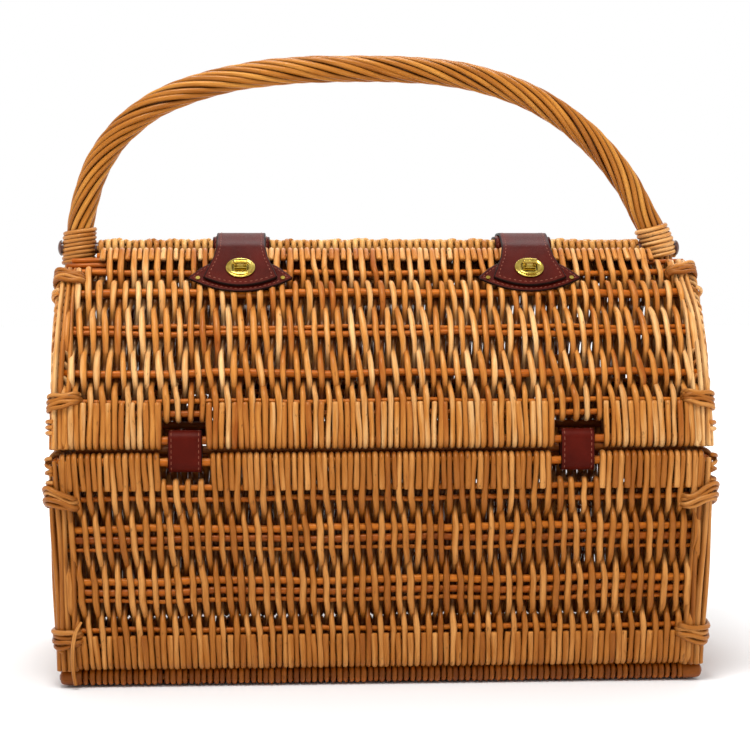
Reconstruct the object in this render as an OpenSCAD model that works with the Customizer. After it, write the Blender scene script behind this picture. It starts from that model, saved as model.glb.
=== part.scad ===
// Woven willow picnic basket: a tapered tub, two half-round lids hinged on leather
// loops at the long rims, a fixed bow handle, and leather straps with brass turn locks.
// X is the long side, the front is -Y, Z is up, and Z = 0 is the underside of the foot.

/* [Tub] */
// Outer width of the tub at its rim
tub_w = 494; // [470:1:500]
// Outer depth of the tub at its rim
tub_d = 230; // [220:1:236]
// Height of the tub's rim above the table
tub_h = 175; // [165:1:180]
// How far each end leans in from rim to bottom
taper_x = 7.5; // [4:0.5:9]
// How far each long side leans in from rim to bottom
taper_y = 7; // [4:0.5:9]
// Thickness of a woven panel, stakes and weavers together
wall_t = 14; // [12:0.5:15]
// Height of the inset foot border
foot_h = 13; // [10:1:16]
// How far the foot border stands back from the walls
foot_inset = 6; // [3:1:8]

/* [Lids] */
// Gap between the tub's rim and a lid's rim
rim_gap = 2.5; // [1.5:0.5:4]
// Outer radius of the lid's curve
lid_r = 221; // [219:1:223]
// Angle of the curve where the lid's rim starts
lid_a0 = 8; // [7:0.5:9]
// Angle of the curve at the lid's top edge
lid_a1 = 53; // [52:0.5:54]
// Outer width of a lid
lid_w = 490; // [484:1:492]

/* [Handle] */
// Radius of the twisted bow
bow_r = 10.5; // [9:0.5:11]
// Thickness of the bindings round the bow's feet
bind_t = 2.4; // [2:0.2:2.6]
// Radius of the dowel through the feet and the spine
dowel_r = 4.5; // [4:0.5:5]

/* [Leather] */
// Thickness of the strap leather
leather_t = 2.4; // [2:0.1:2.6]
// Width of a hinge loop
loop_w = 25; // [20:1:28]
// Place of the left hinge loop
loop_xl = -146; // [-160:1:-140]
// Place of the right hinge loop
loop_xr = 143; // [135:1:160]
// Place of the left closure strap
strap_xl = -106; // [-110:1:-90]
// Place of the right closure strap
strap_xr = 114; // [90:1:116]

/* [Lock] */
// Angle on the lid's curve where the locks sit
lock_a = 46; // [45:0.5:47]
// Long axis of the oval eyelet plate
plate_w = 22.5; // [20:0.5:26]
// Short axis of the oval eyelet plate
plate_h = 20.5; // [17:0.5:22]

/* [Hidden] */

// the tub's outer half width and half depth at a height
function hx(z) = tub_w / 2 - taper_x * (tub_h - z) / (tub_h - foot_h);
function hy(z) = tub_d / 2 - taper_y * (tub_h - z) / (tub_h - foot_h);

// the lid's curve: its axis runs along X through (arc_y, arc_z) on the front lid
lid_z = tub_h + rim_gap;
arc_y = -tub_d / 2 + lid_r * cos(lid_a0);
arc_z = lid_z - lid_r * sin(lid_a0);
mid_r = lid_r - wall_t / 2;
function on_arc(r, a) = [arc_y - r * cos(a), arc_z + r * sin(a)];

rod_r = 4;
rod_z = tub_h - wall_t / 2 - 0.2;
rod_y = hy(rod_z) - wall_t / 2;
lid_rod_z = lid_z + wall_t / 2;
lid_rod_a = asin((lid_rod_z - arc_z) / mid_r);
lid_rod_y = -on_arc(mid_r, lid_rod_a)[0];
slot_w = 34;
slot_low = tub_h - 19.5;
slot_high = lid_z + 21.5;

spine_z = 324.5;
spine_hw = 15;
spine_hz = 6.5;
notch_al = 48.5;      // where the lids end at the handle's left foot
notch_ar = 50.5;      // and at its right foot
notch_xl = -219;
notch_xr = 212;
end_y = 15.5;         // the lids' end panels stop here, and leave the legs room
end_zl = 306;
end_zr = 311;

willow = [0.80, 0.55, 0.27];
stake = [0.74, 0.45, 0.18];
honey = [0.78, 0.52, 0.24];
leather = [0.34, 0.10, 0.07];
brass = [0.85, 0.66, 0.25];
stain = [0.30, 0.15, 0.07];

module along_x(w) rotate([90, 0, 90]) linear_extrude(w, center = true) children();
module along_y(w) rotate([90, 0, 0]) linear_extrude(w, center = true) children();
module mirror_y() mirror([0, 1, 0]) children();
module tube_x(r, x0, x1, y, z) translate([x0, y, z]) rotate([0, 90, 0]) cylinder(r = r, h = x1 - x0, $fn = 64);

// a point on the front lid's curve: local Z points out of the lid, local Y up its slope
module at_lid(x, a) translate([x, arc_y, arc_z]) rotate([90 - a, 0, 0]) children();
// a ring sector of the lid's curve
module arc_band(r0, r1, a0, a1, w) {
  far = 400;
  intersection() {
    difference() {
      tube_x(r1, -w / 2, w / 2, arc_y, arc_z);
      tube_x(r0, -w / 2 - 1, w / 2 + 1, arc_y, arc_z);
    }
    along_x(w + 4) polygon([[arc_y, arc_z], on_arc(far, a0), on_arc(far, (a0 + a1) / 2), on_arc(far, a1)]);
  }
}

// ---------- tub ----------
module tub_block(off, z0, z1) intersection() {
  along_x(700) polygon([[-hy(z0) - off, z0], [hy(z0) + off, z0], [hy(z1) + off, z1], [-hy(z1) - off, z1]]);
  along_y(700) polygon([[-hx(z0) - off, z0], [hx(z0) + off, z0], [hx(z1) + off, z1], [-hx(z1) - off, z1]]);
}

module base_border() color(willow) {
  bx = hx(foot_h) - foot_inset;
  by = hy(foot_h) - foot_inset;
  difference() {
    translate([-bx, -by, 0]) cube([2 * bx, 2 * by, foot_h]);
    translate([-bx + 16, -by + 16, -1]) cube([2 * bx - 32, 2 * by - 32, foot_h + 2]);
  }
}

module base_panel() color(willow) {
  bx = hx(foot_h) - foot_inset - 16.05;
  by = hy(foot_h) - foot_inset - 16.05;
  translate([-bx, -by, 3]) cube([2 * bx, 2 * by, foot_h - 4]);
}

// a long side of the tub: two slots for the hinge loops, and a bore along the rim for its rod
module long_wall() difference() {
  intersection() {
    along_x(700) polygon([[-hy(foot_h), foot_h], [-hy(tub_h), tub_h], [-hy(tub_h) + wall_t, tub_h], [-hy(foot_h) + wall_t, foot_h]]);
    along_y(700) polygon([
      [-hx(foot_h) + wall_t, foot_h], [hx(foot_h) - wall_t, foot_h],
      [hx(tub_h) - wall_t, tub_h], [-hx(tub_h) + wall_t, tub_h]
    ]);
  }
  tube_x(rod_r + 0.1, -400, 400, -rod_y, rod_z);
  for (x = [loop_xl, loop_xr])
    translate([x - slot_w / 2, -tub_d, slot_low]) cube([slot_w, tub_d, 60]);
}
module front_wall() color(willow) long_wall();
module back_wall() color(willow) mirror_y() long_wall();

// an end of the tub: a bore in its rim takes the handle's tail
module end_wall(s) difference() {
  intersection() {
    along_y(700) polygon([
      [s * hx(foot_h), foot_h], [s * hx(tub_h), tub_h],
      [s * (hx(tub_h) - wall_t), tub_h], [s * (hx(foot_h) - wall_t), foot_h]
    ]);
    along_x(700) polygon([
      [-hy(foot_h) + wall_t, foot_h], [hy(foot_h) - wall_t, foot_h],
      [hy(tub_h) - wall_t, tub_h], [-hy(tub_h) + wall_t, tub_h]
    ]);
  }
  tail_bore(s);
}
module left_end_wall() color(willow) end_wall(-1);
module right_end_wall() color(willow) end_wall(1);

// a straight cylinder from one point to another
module bar(p, q, r) {
  d = q - p;
  l = norm(d);
  translate(p) rotate([0, acos(d[2] / l), atan2(d[1], d[0])]) cylinder(r = r, h = l, $fn = 48);
}

module corner_post(sx, sy) color(stake) {
  e = 0.5;
  r = wall_t / 2;
  bar([sx * (hx(foot_h + e) - r), sy * (hy(foot_h + e) - r), foot_h + e],
      [sx * (hx(tub_h - e) - r), sy * (hy(tub_h - e) - r), tub_h - e], r - 0.12);
}
module corner_post_front_left() corner_post(-1, -1);
module corner_post_front_right() corner_post(1, -1);
module corner_post_back_left() corner_post(-1, 1);
module corner_post_back_right() corner_post(1, 1);

// four turns of willow round each corner post, near the top and near the bottom
module tub_corner_ties() color(honey)
  for (zc = [140, 38])
    difference() {
      tub_block(3, zc - 9, zc + 9);
      tub_block(0.1, zc - 12, zc + 12);
      translate([-300, -hy(zc) + 27, 0]) cube([600, 2 * hy(zc) - 54, 300]);
      translate([-hx(zc) + 27, -200, 0]) cube([2 * hx(zc) - 54, 400, 300]);
    }

module rim_rod() tube_x(rod_r, -hx(rod_z) + wall_t + 0.5, hx(rod_z) - wall_t - 0.5, -rod_y, rod_z);
module front_rim_rod() color(stake) rim_rod();
module back_rim_rod() color(stake) mirror_y() rim_rod();

// ---------- handle ----------
// the bow's centre line in the XZ plane from left foot to right foot, with the radius as the third value
bow_top = [
  [-232, 325], [-232, 338], [-229, 354], [-220, 384], [-201, 413], [-170, 437], [-131, 452],
  [-84, 461], [-37, 464], [18, 464], [57, 461], [97, 452], [136, 435], [168, 411], [196, 379],
  [212, 350], [220, 337], [224, 325]
];
tail_z = 112;
function tail_x(z) = hx(z) - wall_t / 2;
leg_low = tub_h + 5;
bow_pts = concat(
  [[-tail_x(tail_z), tail_z, 3.2], [-tail_x(tail_z + 8), tail_z + 8, 4.4], [-tail_x(tub_h), tub_h, 4.4],
   [-tail_x(tub_h) + 0.1, tub_h + 1, 6.6], [-tail_x(tub_h) + 0.5, leg_low + 4, 7.5], [-237, 250, 9.5], [-234, 300, bow_r]],
  [for (p = bow_top) [p[0], p[1], bow_r]],
  [[227, 300, bow_r], [233, 250, 9.5], [tail_x(tub_h) - 0.5, leg_low + 4, 7.5], [tail_x(tub_h) - 0.1, tub_h + 1, 6.6],
   [tail_x(tub_h), tub_h, 4.4], [tail_x(tail_z + 8), tail_z + 8, 4.4], [tail_x(tail_z), tail_z, 3.2]]
);
// a smooth curve through the points, with some steps between each two
function spline(p0, p1, p2, p3, t) = 0.5 * (2 * p1 + (p2 - p0) * t + (2 * p0 - 5 * p1 + 4 * p2 - p3) * t * t + (3 * p1 - p0 - 3 * p2 + p3) * t * t * t);
function smooth(p, i0, i1, steps) = [
  for (i = [i0 : i1 - 1], k = [0 : steps - 1])
    spline(p[max(i - 1, 0)], p[i], p[i + 1], p[min(i + 2, len(p) - 1)], k / steps)
];
bow_i0 = 6;                       // the curved part runs between these points of bow_pts
bow_i1 = len(bow_pts) - 7;
bow_line = concat(
  [for (i = [0 : bow_i0 - 1]) bow_pts[i]],
  smooth(bow_pts, bow_i0, bow_i1, 3),
  [for (i = [bow_i1 : len(bow_pts) - 1]) bow_pts[i]]
);
sides = 16;
function unit(v) = v / norm(v);
function along(l, i) = unit([for (k = [0, 1]) l[min(i + 1, len(l) - 1)][k] - l[max(i - 1, 0)][k]]);
// a tube that follows a line of [x, z, radius] in the XZ plane
module sweep(l) {
  n = len(l);
  pts = [for (i = [0 : n - 1], k = [0 : sides - 1])
    let (t = along(l, i), a = 360 * k / sides, u = [t[1], -t[0]] * cos(a) * l[i][2])
      [l[i][0] + u[0], sin(a) * l[i][2], l[i][1] + u[1]]];
  polyhedron(pts, concat(
    [[for (k = [0 : sides - 1]) k]],
    [for (i = [0 : n - 2], k = [0 : sides - 1])
      let (a = i * sides + k, b = i * sides + (k + 1) % sides) [a, a + sides, b + sides, b]],
    [[for (k = [sides - 1 : -1 : 0]) (n - 1) * sides + k]]
  ));
}
module tail_bore(s) bar([s * tail_x(tail_z - 4), 0, tail_z - 4], [s * tail_x(tub_h + 20), 0, tub_h + 20], 4.7);
module dowel_bore() tube_x(dowel_r + 0.05, -400, 400, 0, spine_z);

module handle_bow() color(honey) difference() {
  sweep(bow_line);
  dowel_bore();
}

// the bindings follow the bow's own line between two of its points
function part_line(z0, z1, s, r) = [
  for (p = bow_line) if (s * p[0] > 200 && p[1] >= z0 && p[1] <= z1) [p[0], p[1], r]
];
module foot_binding(s, z0, z1) color(honey) difference() {
  sweep(part_line(z0, z1, s, bow_r + 0.2 + bind_t));
  sweep(part_line(z0 - 20, z1 + 20, s, bow_r + 0.2));
  dowel_bore();
}
module foot_binding_left() foot_binding(-1, 312, 338.5);
module foot_binding_right() foot_binding(1, 316, 341);

module stadium(hw, hz) {
  n = 12;
  polygon(concat(
    [for (i = [0 : n]) let (a = 90 + 180 * i / n) [-(hw - hz) + hz * cos(a), hz * sin(a)]],
    [for (i = [0 : n]) let (a = -90 + 180 * i / n) [(hw - hz) + hz * cos(a), hz * sin(a)]]
  ));
}
module spine_bar() color(willow) difference() {
  translate([-5.25, 0, spine_z]) along_x(425.5) stadium(spine_hw, spine_hz);
  dowel_bore();
}
head_l = -245.9;
head_r = 237.5;
head_h = 3;
// a straight dowel with a domed head at each end, turned in one piece
module spine_dowel() color(stain) translate([head_l, 0, spine_z]) rotate([0, 90, 0]) {
  l = head_r - head_l;
  rotate_extrude($fn = 64) polygon(concat(
    [[0, -head_h]], [for (a = [15 : 15 : 75]) [6.2 * sin(a), -head_h * cos(a)]], [[6.2, 0], [dowel_r, 0]],
    [[dowel_r, l], [6.2, l]], [for (a = [75 : -15 : 15]) [6.2 * sin(a), l + head_h * cos(a)]], [[0, l + head_h]]
  ));
}

// ---------- leather on the spine and at the rims ----------
sleeve_w = 46;
flap_y = 13;                                   // the straps bend here
sleeve_top = spine_z + spine_hz + 0.15 + 2.2;
flap_z = sleeve_top + leather_t / 2;
// a leather sleeve round the spine, with the ends of the front and back straps sewn on top
module strap_sleeve(x) color(leather) translate([x, 0, 0]) {
  difference() {
    translate([0, 0, spine_z]) along_x(sleeve_w) stadium(spine_hw + 2.35, spine_hz + 2.35);
    translate([0, 0, spine_z]) along_x(sleeve_w + 2) stadium(spine_hw + 0.15, spine_hz + 0.15);
  }
  translate([-18.5, -flap_y + 1.5, sleeve_top - 0.3]) cube([37, 2 * flap_y - 3, leather_t + 0.3]);
}
module strap_sleeve_left() strap_sleeve(strap_xl);
module strap_sleeve_right() strap_sleeve(strap_xr);

// a leather loop round the tub's rim rod and the lid's rim rod
loop_zc = (rod_z + lid_rod_z) / 2;
loop_hz = (lid_rod_z - rod_z) / 2 + rod_r + 0.4;
loop_yc = (rod_y + lid_rod_y) / 2;
module hinge_loop(x) color(leather) translate([x, -loop_yc, loop_zc]) difference() {
  along_x(loop_w) rotate(90) stadium(loop_hz + leather_t, rod_r + 0.8 + leather_t);
  along_x(loop_w + 2) rotate(90) stadium(loop_hz, rod_r + 0.8);
}
module hinge_loop_front_left() hinge_loop(loop_xl);
module hinge_loop_front_right() hinge_loop(loop_xr);
module hinge_loop_back_left() mirror_y() hinge_loop(loop_xl);
module hinge_loop_back_right() mirror_y() hinge_loop(loop_xr);

// ---------- lids ----------
lid_in = lid_w / 2 - wall_t;
module lid_panel() difference() {
  union() {
    arc_band(lid_r - wall_t, lid_r, 0, lid_a1, 2 * lid_in);
    tube_x(wall_t / 2 - 0.4, -lid_in, lid_in, on_arc(mid_r, lid_a1)[0], on_arc(mid_r, lid_a1)[1]);
  }
  translate([-400, -200, lid_z - 100]) cube([800, 400, 100]);
  tube_x(rod_r + 0.1, -400, 400, -lid_rod_y, lid_rod_z);
  for (x = [loop_xl, loop_xr])
    translate([x - slot_w / 2, -tub_d, lid_z - 1]) cube([slot_w, tub_d, slot_high - lid_z + 1]);
  notch(notch_xl - 200, notch_xl, notch_al);
  notch(notch_xr, notch_xr + 200, notch_ar);
}
// the room that a corner leaves for the handle's foot
module notch(x0, x1, a) translate([(x0 + x1) / 2, 0, 0]) along_x(x1 - x0)
  polygon([on_arc(150, a), on_arc(300, a), on_arc(300, a + 20), on_arc(150, a + 20)]);
module lid_end(s, top) intersection() {
  tube_x(lid_r - wall_t - 0.1, s > 0 ? lid_in : -lid_in - wall_t, s > 0 ? lid_in + wall_t : -lid_in, arc_y, arc_z);
  translate([-300, -200, lid_z]) cube([600, 200 - end_y, top - lid_z]);
}
// a curved rod along the corner between a lid's panel and its end
module lid_post(s, a) translate([s * (lid_in + wall_t / 2), arc_y, arc_z]) rotate([90, 0, -90])
  rotate([0, 0, lid_a0 + 0.8]) rotate_extrude(angle = a - lid_a0 - 0.8, $fn = 180)
    translate([mid_r, 0]) circle(r = wall_t / 2 - 0.12, $fn = 32);
module lid_tie(s, a) intersection() {
  difference() {
    tube_x(lid_r + 3, -lid_w / 2 - 3, lid_w / 2 + 3, arc_y, arc_z);
    tube_x(lid_r + 0.1, -lid_w / 2 - 0.1, lid_w / 2 + 0.1, arc_y, arc_z);
  }
  translate([s * (lid_w / 2 - 8), 0, 0]) along_x(35)
    polygon([on_arc(201, a - 2.2), on_arc(240, a - 2.2), on_arc(240, a + 2.2), on_arc(201, a + 2.2)]);
}
module lid_rim_rod() tube_x(rod_r, -lid_in + 0.5, lid_in - 0.5, -lid_rod_y, lid_rod_z);

// ---------- closures ----------
pad_r = lid_r + 0.1;
pad_t = 2;
flap_r = pad_r + pad_t + 0.3;
module pad_outline() polygon(concat(
  [[39, -6], [30, 3], [24, 8], [-24, 8], [-30, 3], [-39, -6], [-39, -8]],
  [for (x = [-36 : 6 : 36]) [x, -20 + 11 * pow(abs(x) / 36, 2)]],
  [[39, -8]]
));
lock_slot = [12, 9.5];
module on_curve(x, r0, r1) intersection() {
  arc_band(r0, r1, 30, 60, 400);
  at_lid(x, lock_a) translate([0, 0, r0 - 6]) linear_extrude(r1 - r0 + 12) children();
}
module pad(x) color(leather) difference() {
  on_curve(x, pad_r, pad_r + pad_t) pad_outline();
  for (s = [-1, 1]) at_lid(x + s * 32, lock_a) translate([0, -8, lid_r - 4]) cylinder(r = 1.25, h = 12, $fn = 24);
}
module pad_rivets() color(brass)
  for (x = [strap_xl, strap_xr], s = [-1, 1])
    at_lid(x + s * 32, lock_a) translate([0, -8, 0]) {
      translate([0, 0, pad_r + 0.3]) cylinder(r = 1.2, h = 2.6, $fn = 24);
      translate([0, 0, pad_r + pad_t + 0.15]) cylinder(r = 1.7, h = 0.9, $fn = 24);
    }
module lock_bases() color(brass)
  for (x = [strap_xl, strap_xr])
    at_lid(x, lock_a) difference() {
      translate([-5.2, -3.6, pad_r + pad_t + 0.05]) cube([10.4, 7.2, 3.8]);
      cylinder(r = 1.55, h = 300, $fn = 32);
    }
knob_r = pad_r + pad_t + 4.1;
module knob(x) color(brass) at_lid(x, lock_a) {
  translate([0, 0, pad_r + pad_t + 0.4]) cylinder(r = 1.5, h = 4, $fn = 32);
  translate([-4.7, -1.9, knob_r]) cube([9.4, 3.8, 1.6]);
  for (s = [-1, 1]) translate([s * 3.5 - 1.2, -1.9, knob_r + 1.5]) cube([2.4, 3.8, 3.2]);
  translate([-5.5, -2, knob_r + 4.6]) cube([11, 4, 3]);
}

// the strap's side view: a straight piece from the bend to the lid's top, then along its curve
flap_end = 41.8;
flap_mid = flap_r + leather_t / 2;
function flap_line() = concat([[-flap_y, flap_z]], [for (a = [lid_a1 : -1.4 : flap_end]) on_arc(flap_mid, a)]);
function side(l, i) = let (t = unit(l[min(i + 1, len(l) - 1)] - l[max(i - 1, 0)])) [t[1], -t[0]];
module flap_side() {
  l = flap_line();
  n = len(l);
  polygon(concat(
    [for (i = [0 : n - 1]) l[i] + side(l, i) * leather_t / 2],
    [for (i = [n - 1 : -1 : 0]) l[i] - side(l, i) * leather_t / 2]
  ));
}
module strap_outline() polygon(concat(
  [[18.5, 60], [-18.5, 60], [-18.5, 26], [-20, 14], [-27.5, -9]],
  [for (x = [-24 : 6 : 24]) [x, -16.5 + 6 * pow(abs(x) / 24, 2)]],
  [[27.5, -9], [20, 14], [18.5, 26]]
));
module strap(x) color(leather) difference() {
  intersection() {
    translate([x, 0, 0]) along_x(80) flap_side();
    at_lid(x, lock_a) translate([0, 0, lid_r - 30]) linear_extrude(60) strap_outline();
  }
  at_lid(x, lock_a) translate([-lock_slot[0] / 2, -lock_slot[1] / 2, 0]) cube([lock_slot[0], lock_slot[1], 300]);
}
plate_r = flap_r + leather_t + 0.3;
module eyelet(x) color(brass) at_lid(x, lock_a) difference() {
  translate([0, 0, plate_r]) linear_extrude(1.2) polygon([
    for (i = [0 : 35]) [plate_w / 2 * cos(i * 10), plate_h / 2 * sin(i * 10)]
  ]);
  translate([-lock_slot[0] / 2, -lock_slot[1] / 2, 0]) cube([lock_slot[0], lock_slot[1], 300]);
}

module front_lid_panel() color(willow) lid_panel();
module front_lid_end_left() color(willow) lid_end(-1, end_zl);
module front_lid_end_right() color(willow) lid_end(1, end_zr);
module front_lid_post_left() color(stake) lid_post(-1, notch_al - 0.5);
module front_lid_post_right() color(stake) lid_post(1, notch_ar - 0.5);
module lid_ties() for (s = [-1, 1], a = [17.5, 45]) lid_tie(s, a);
module front_lid_ties() color(honey) lid_ties();
module front_lid_rim_rod() color(stake) lid_rim_rod();
module front_pad_left() pad(strap_xl);
module front_pad_right() pad(strap_xr);
module front_pad_rivets() pad_rivets();
module front_lock_bases() lock_bases();
module front_strap_left() strap(strap_xl);
module front_strap_right() strap(strap_xr);
module front_eyelet_left() eyelet(strap_xl);
module front_eyelet_right() eyelet(strap_xr);
module front_knob_left() knob(strap_xl);
module front_knob_right() knob(strap_xr);

module back_lid_panel() color(willow) mirror_y() lid_panel();
module back_lid_end_left() color(willow) mirror_y() lid_end(-1, end_zl);
module back_lid_end_right() color(willow) mirror_y() lid_end(1, end_zr);
module back_lid_post_left() color(stake) mirror_y() lid_post(-1, notch_al - 0.5);
module back_lid_post_right() color(stake) mirror_y() lid_post(1, notch_ar - 0.5);
module back_lid_ties() color(honey) mirror_y() lid_ties();
module back_lid_rim_rod() color(stake) mirror_y() lid_rim_rod();
module back_pad_left() mirror_y() pad(strap_xl);
module back_pad_right() mirror_y() pad(strap_xr);
module back_pad_rivets() mirror_y() pad_rivets();
module back_lock_bases() mirror_y() lock_bases();
module back_strap_left() mirror_y() strap(strap_xl);
module back_strap_right() mirror_y() strap(strap_xr);
module back_eyelet_left() mirror_y() eyelet(strap_xl);
module back_eyelet_right() mirror_y() eyelet(strap_xr);
module back_knob_left() mirror_y() knob(strap_xl);
module back_knob_right() mirror_y() knob(strap_xr);

base_border();
base_panel();
front_wall();
back_wall();
left_end_wall();
right_end_wall();
corner_post_front_left();
corner_post_front_right();
corner_post_back_left();
corner_post_back_right();
tub_corner_ties();
front_rim_rod();
back_rim_rod();
handle_bow();
foot_binding_left();
foot_binding_right();
spine_bar();
spine_dowel();
strap_sleeve_left();
strap_sleeve_right();
hinge_loop_front_left();
hinge_loop_front_right();
hinge_loop_back_left();
hinge_loop_back_right();
front_lid_panel();
front_lid_end_left();
front_lid_end_right();
front_lid_post_left();
front_lid_post_right();
front_lid_ties();
front_lid_rim_rod();
front_pad_left();
front_pad_right();
front_pad_rivets();
front_lock_bases();
back_lid_panel();
back_lid_end_left();
back_lid_end_right();
back_lid_post_left();
back_lid_post_right();
back_lid_ties();
back_lid_rim_rod();
back_pad_left();
back_pad_right();
back_pad_rivets();
back_lock_bases();
front_strap_left();
front_strap_right();
back_strap_left();
back_strap_right();
front_eyelet_left();
front_eyelet_right();
back_eyelet_left();
back_eyelet_right();
front_knob_left();
front_knob_right();
back_knob_left();
back_knob_right();
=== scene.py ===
import math

import bpy
import numpy as np
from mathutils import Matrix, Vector


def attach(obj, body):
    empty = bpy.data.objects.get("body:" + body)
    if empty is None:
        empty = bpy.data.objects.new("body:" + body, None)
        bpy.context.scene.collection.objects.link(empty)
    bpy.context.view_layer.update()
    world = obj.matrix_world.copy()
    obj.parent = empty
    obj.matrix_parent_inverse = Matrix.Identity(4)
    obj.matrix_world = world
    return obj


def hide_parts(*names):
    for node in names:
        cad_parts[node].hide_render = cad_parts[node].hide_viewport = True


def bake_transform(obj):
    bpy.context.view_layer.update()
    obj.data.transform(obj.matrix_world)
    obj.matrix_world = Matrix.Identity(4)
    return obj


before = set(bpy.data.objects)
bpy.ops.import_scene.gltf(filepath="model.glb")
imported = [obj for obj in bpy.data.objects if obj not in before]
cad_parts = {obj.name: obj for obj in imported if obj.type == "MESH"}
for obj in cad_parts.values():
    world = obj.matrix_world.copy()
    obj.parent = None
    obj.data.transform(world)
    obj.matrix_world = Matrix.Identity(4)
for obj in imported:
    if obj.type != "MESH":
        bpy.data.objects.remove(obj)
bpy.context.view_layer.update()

rng = np.random.default_rng(11)
MM = 0.001
PI = math.pi

# ---------------------------------------------------------------- frame sizes, in mm
ARC_Y, ARC_Z, MID = 103.849, 146.743, 214.0
PITCH = 4.57
AMP = 5.05


def hx(z):
    return 247 - 7.5 * (175 - z) / 162


def hy(z):
    return 115 - 7 * (175 - z) / 162


def ease(t):
    t = np.clip(t, 0, 1)
    return t * t * (3 - 2 * t)


# ---------------------------------------------------------------- mesh helpers
class Bundle:
    """Gathers tubes and other surfaces into one mesh, with the attributes the materials read."""

    def __init__(self):
        self.co, self.idx, self.len = [], [], []
        self.rnd, self.deep, self.rod = [], [], []
        self.n = 0

    def add(self, co, faces, rnd=0.5, deep=0.0, rod=None):
        """faces is a list of index arrays, each (count, corners)."""
        m = len(co)
        self.co.append(co)
        for f in faces:
            if len(f):
                self.idx.append((f + self.n).ravel())
                self.len.append(np.full(len(f), f.shape[1]))
        self.rnd.append(np.broadcast_to(rnd, (m,)))
        self.deep.append(np.broadcast_to(deep, (m,)))
        self.rod.append(co if rod is None else rod)
        self.n += m

    def build(self, name, material, body=None, replaces=()):
        co = np.concatenate(self.co)
        idx = np.concatenate(self.idx).astype(np.int32)
        ln = np.concatenate(self.len)
        me = bpy.data.meshes.new(name)
        me.vertices.add(len(co))
        me.vertices.foreach_set("co", (co * MM).astype(np.float32).ravel())
        me.loops.add(len(idx))
        me.polygons.add(len(ln))
        me.loops.foreach_set("vertex_index", idx)
        starts = np.concatenate([[0], np.cumsum(ln)[:-1]]).astype(np.int32)
        me.polygons.foreach_set("loop_start", starts)
        me.update(calc_edges=True)
        me.polygons.foreach_set("use_smooth", np.ones(len(ln), dtype=bool))
        # deep holds painted shade on the willow and the dark painted edge on the leather
        for key, data, kind, field in (
            ("rnd", self.rnd, "FLOAT", "value"),
            ("deep", self.deep, "FLOAT", "value"),
            ("rodco", self.rod, "FLOAT_VECTOR", "vector"),
        ):
            att = me.attributes.new(key, kind, "POINT")
            att.data.foreach_set(field, np.concatenate(data).astype(np.float32).ravel())
        me.validate()
        ob = bpy.data.objects.new(name, me)
        bpy.context.scene.collection.objects.link(ob)
        me.materials.append(material)
        if replaces:
            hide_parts(*replaces)
        if body:
            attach(ob, body)
        return ob


def norm(v):
    return v / (np.linalg.norm(v, axis=-1, keepdims=True) + 1e-12)


def tubes(b, P, R, ref, sides=8, rnd=None, deep=0.0, outw=None, level=None, flank_painted_shade=0.62):
    """Round rods along the paths P (rods, points, 3), with radii R, closed at both ends.
    outw is the way out of the panel; from it the flanks of a rod, and rods that lie deeper (level below 0), get painted
    shade."""
    P = np.asarray(P, float)
    if P.ndim == 2:
        P = P[None]
    W, K, _ = P.shape
    R = np.broadcast_to(np.asarray(R, float), (W, K))
    ref = np.broadcast_to(np.asarray(ref, float), (W, K, 3))
    deep = np.broadcast_to(np.asarray(deep, float), (W, K))
    outw = None if outw is None else norm(np.broadcast_to(np.asarray(outw, float), (W, K, 3)))
    level = None if level is None else np.broadcast_to(np.asarray(level, float), (W, K))
    if rnd is None:
        rnd = rng.random(W)
    rnd = np.broadcast_to(np.asarray(rnd, float), (W,))
    T = norm(np.gradient(P, axis=1))
    L = np.concatenate([np.zeros((W, 1)), np.cumsum(np.linalg.norm(np.diff(P, axis=1), axis=2), axis=1)], axis=1)
    r0, r1 = R[:, :1], R[:, -1:]
    P = np.concatenate([P[:, :1] - T[:, :1] * 0.2 * r0[..., None], P, P[:, -1:] + T[:, -1:] * 0.2 * r1[..., None]], axis=1)
    R = np.concatenate([0.7 * r0, R, 0.7 * r1], axis=1)
    T, ref, L, deep = [np.concatenate([q[:, :1], q, q[:, -1:]], axis=1) for q in (T, ref, L, deep)]
    if outw is not None:
        outw = np.concatenate([outw[:, :1], outw, outw[:, -1:]], axis=1)
    if level is not None:
        level = np.concatenate([level[:, :1], level, level[:, -1:]], axis=1)
    K += 2
    U = norm(np.cross(T, ref))
    V = np.cross(T, U)
    a = 2 * PI * np.arange(sides) / sides
    ca, sa = np.cos(a), np.sin(a)
    NRM = ca[None, None, :, None] * U[:, :, None, :] + sa[None, None, :, None] * V[:, :, None, :]
    C = P[:, :, None, :] + R[:, :, None, None] * NRM
    # painted shade: the given amount, plus darker flanks and darker sides of deep rods, where shade would fall
    dv = np.repeat(deep[:, :, None], sides, axis=2)
    if outw is not None:
        dot = (NRM * outw[:, :, None, :]).sum(-1)
        dv = dv + flank_painted_shade * (1 - np.abs(dot)) ** 1.7
        if level is not None:
            dv = dv + np.clip(0.04 - 0.84 * level[:, :, None] * np.sign(dot) * np.clip(np.abs(dot) * 3, 0, 1), 0, 0.88)
    dv = np.clip(dv, 0, 0.96)
    off = rnd[:, None, None]
    rod = np.stack([
        ca * R[:, :, None] + 53 * off,
        sa * R[:, :, None] + 171 * off,
        np.broadcast_to(L[:, :, None], (W, K, sides)) + 700 * off,
    ], axis=-1)
    i = np.arange(W * K * sides).reshape(W, K, sides)
    j = np.roll(i, -1, axis=2)
    quads = np.stack([i[:, :-1], j[:, :-1], j[:, 1:], i[:, 1:]], axis=-1).reshape(-1, 4)
    caps = np.concatenate([i[:, 0, ::-1], i[:, -1, :]])
    b.add(
        C.reshape(-1, 3), [quads, caps],
        np.repeat(rnd, K * sides), dv.ravel(), rod.reshape(-1, 3),
    )


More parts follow.
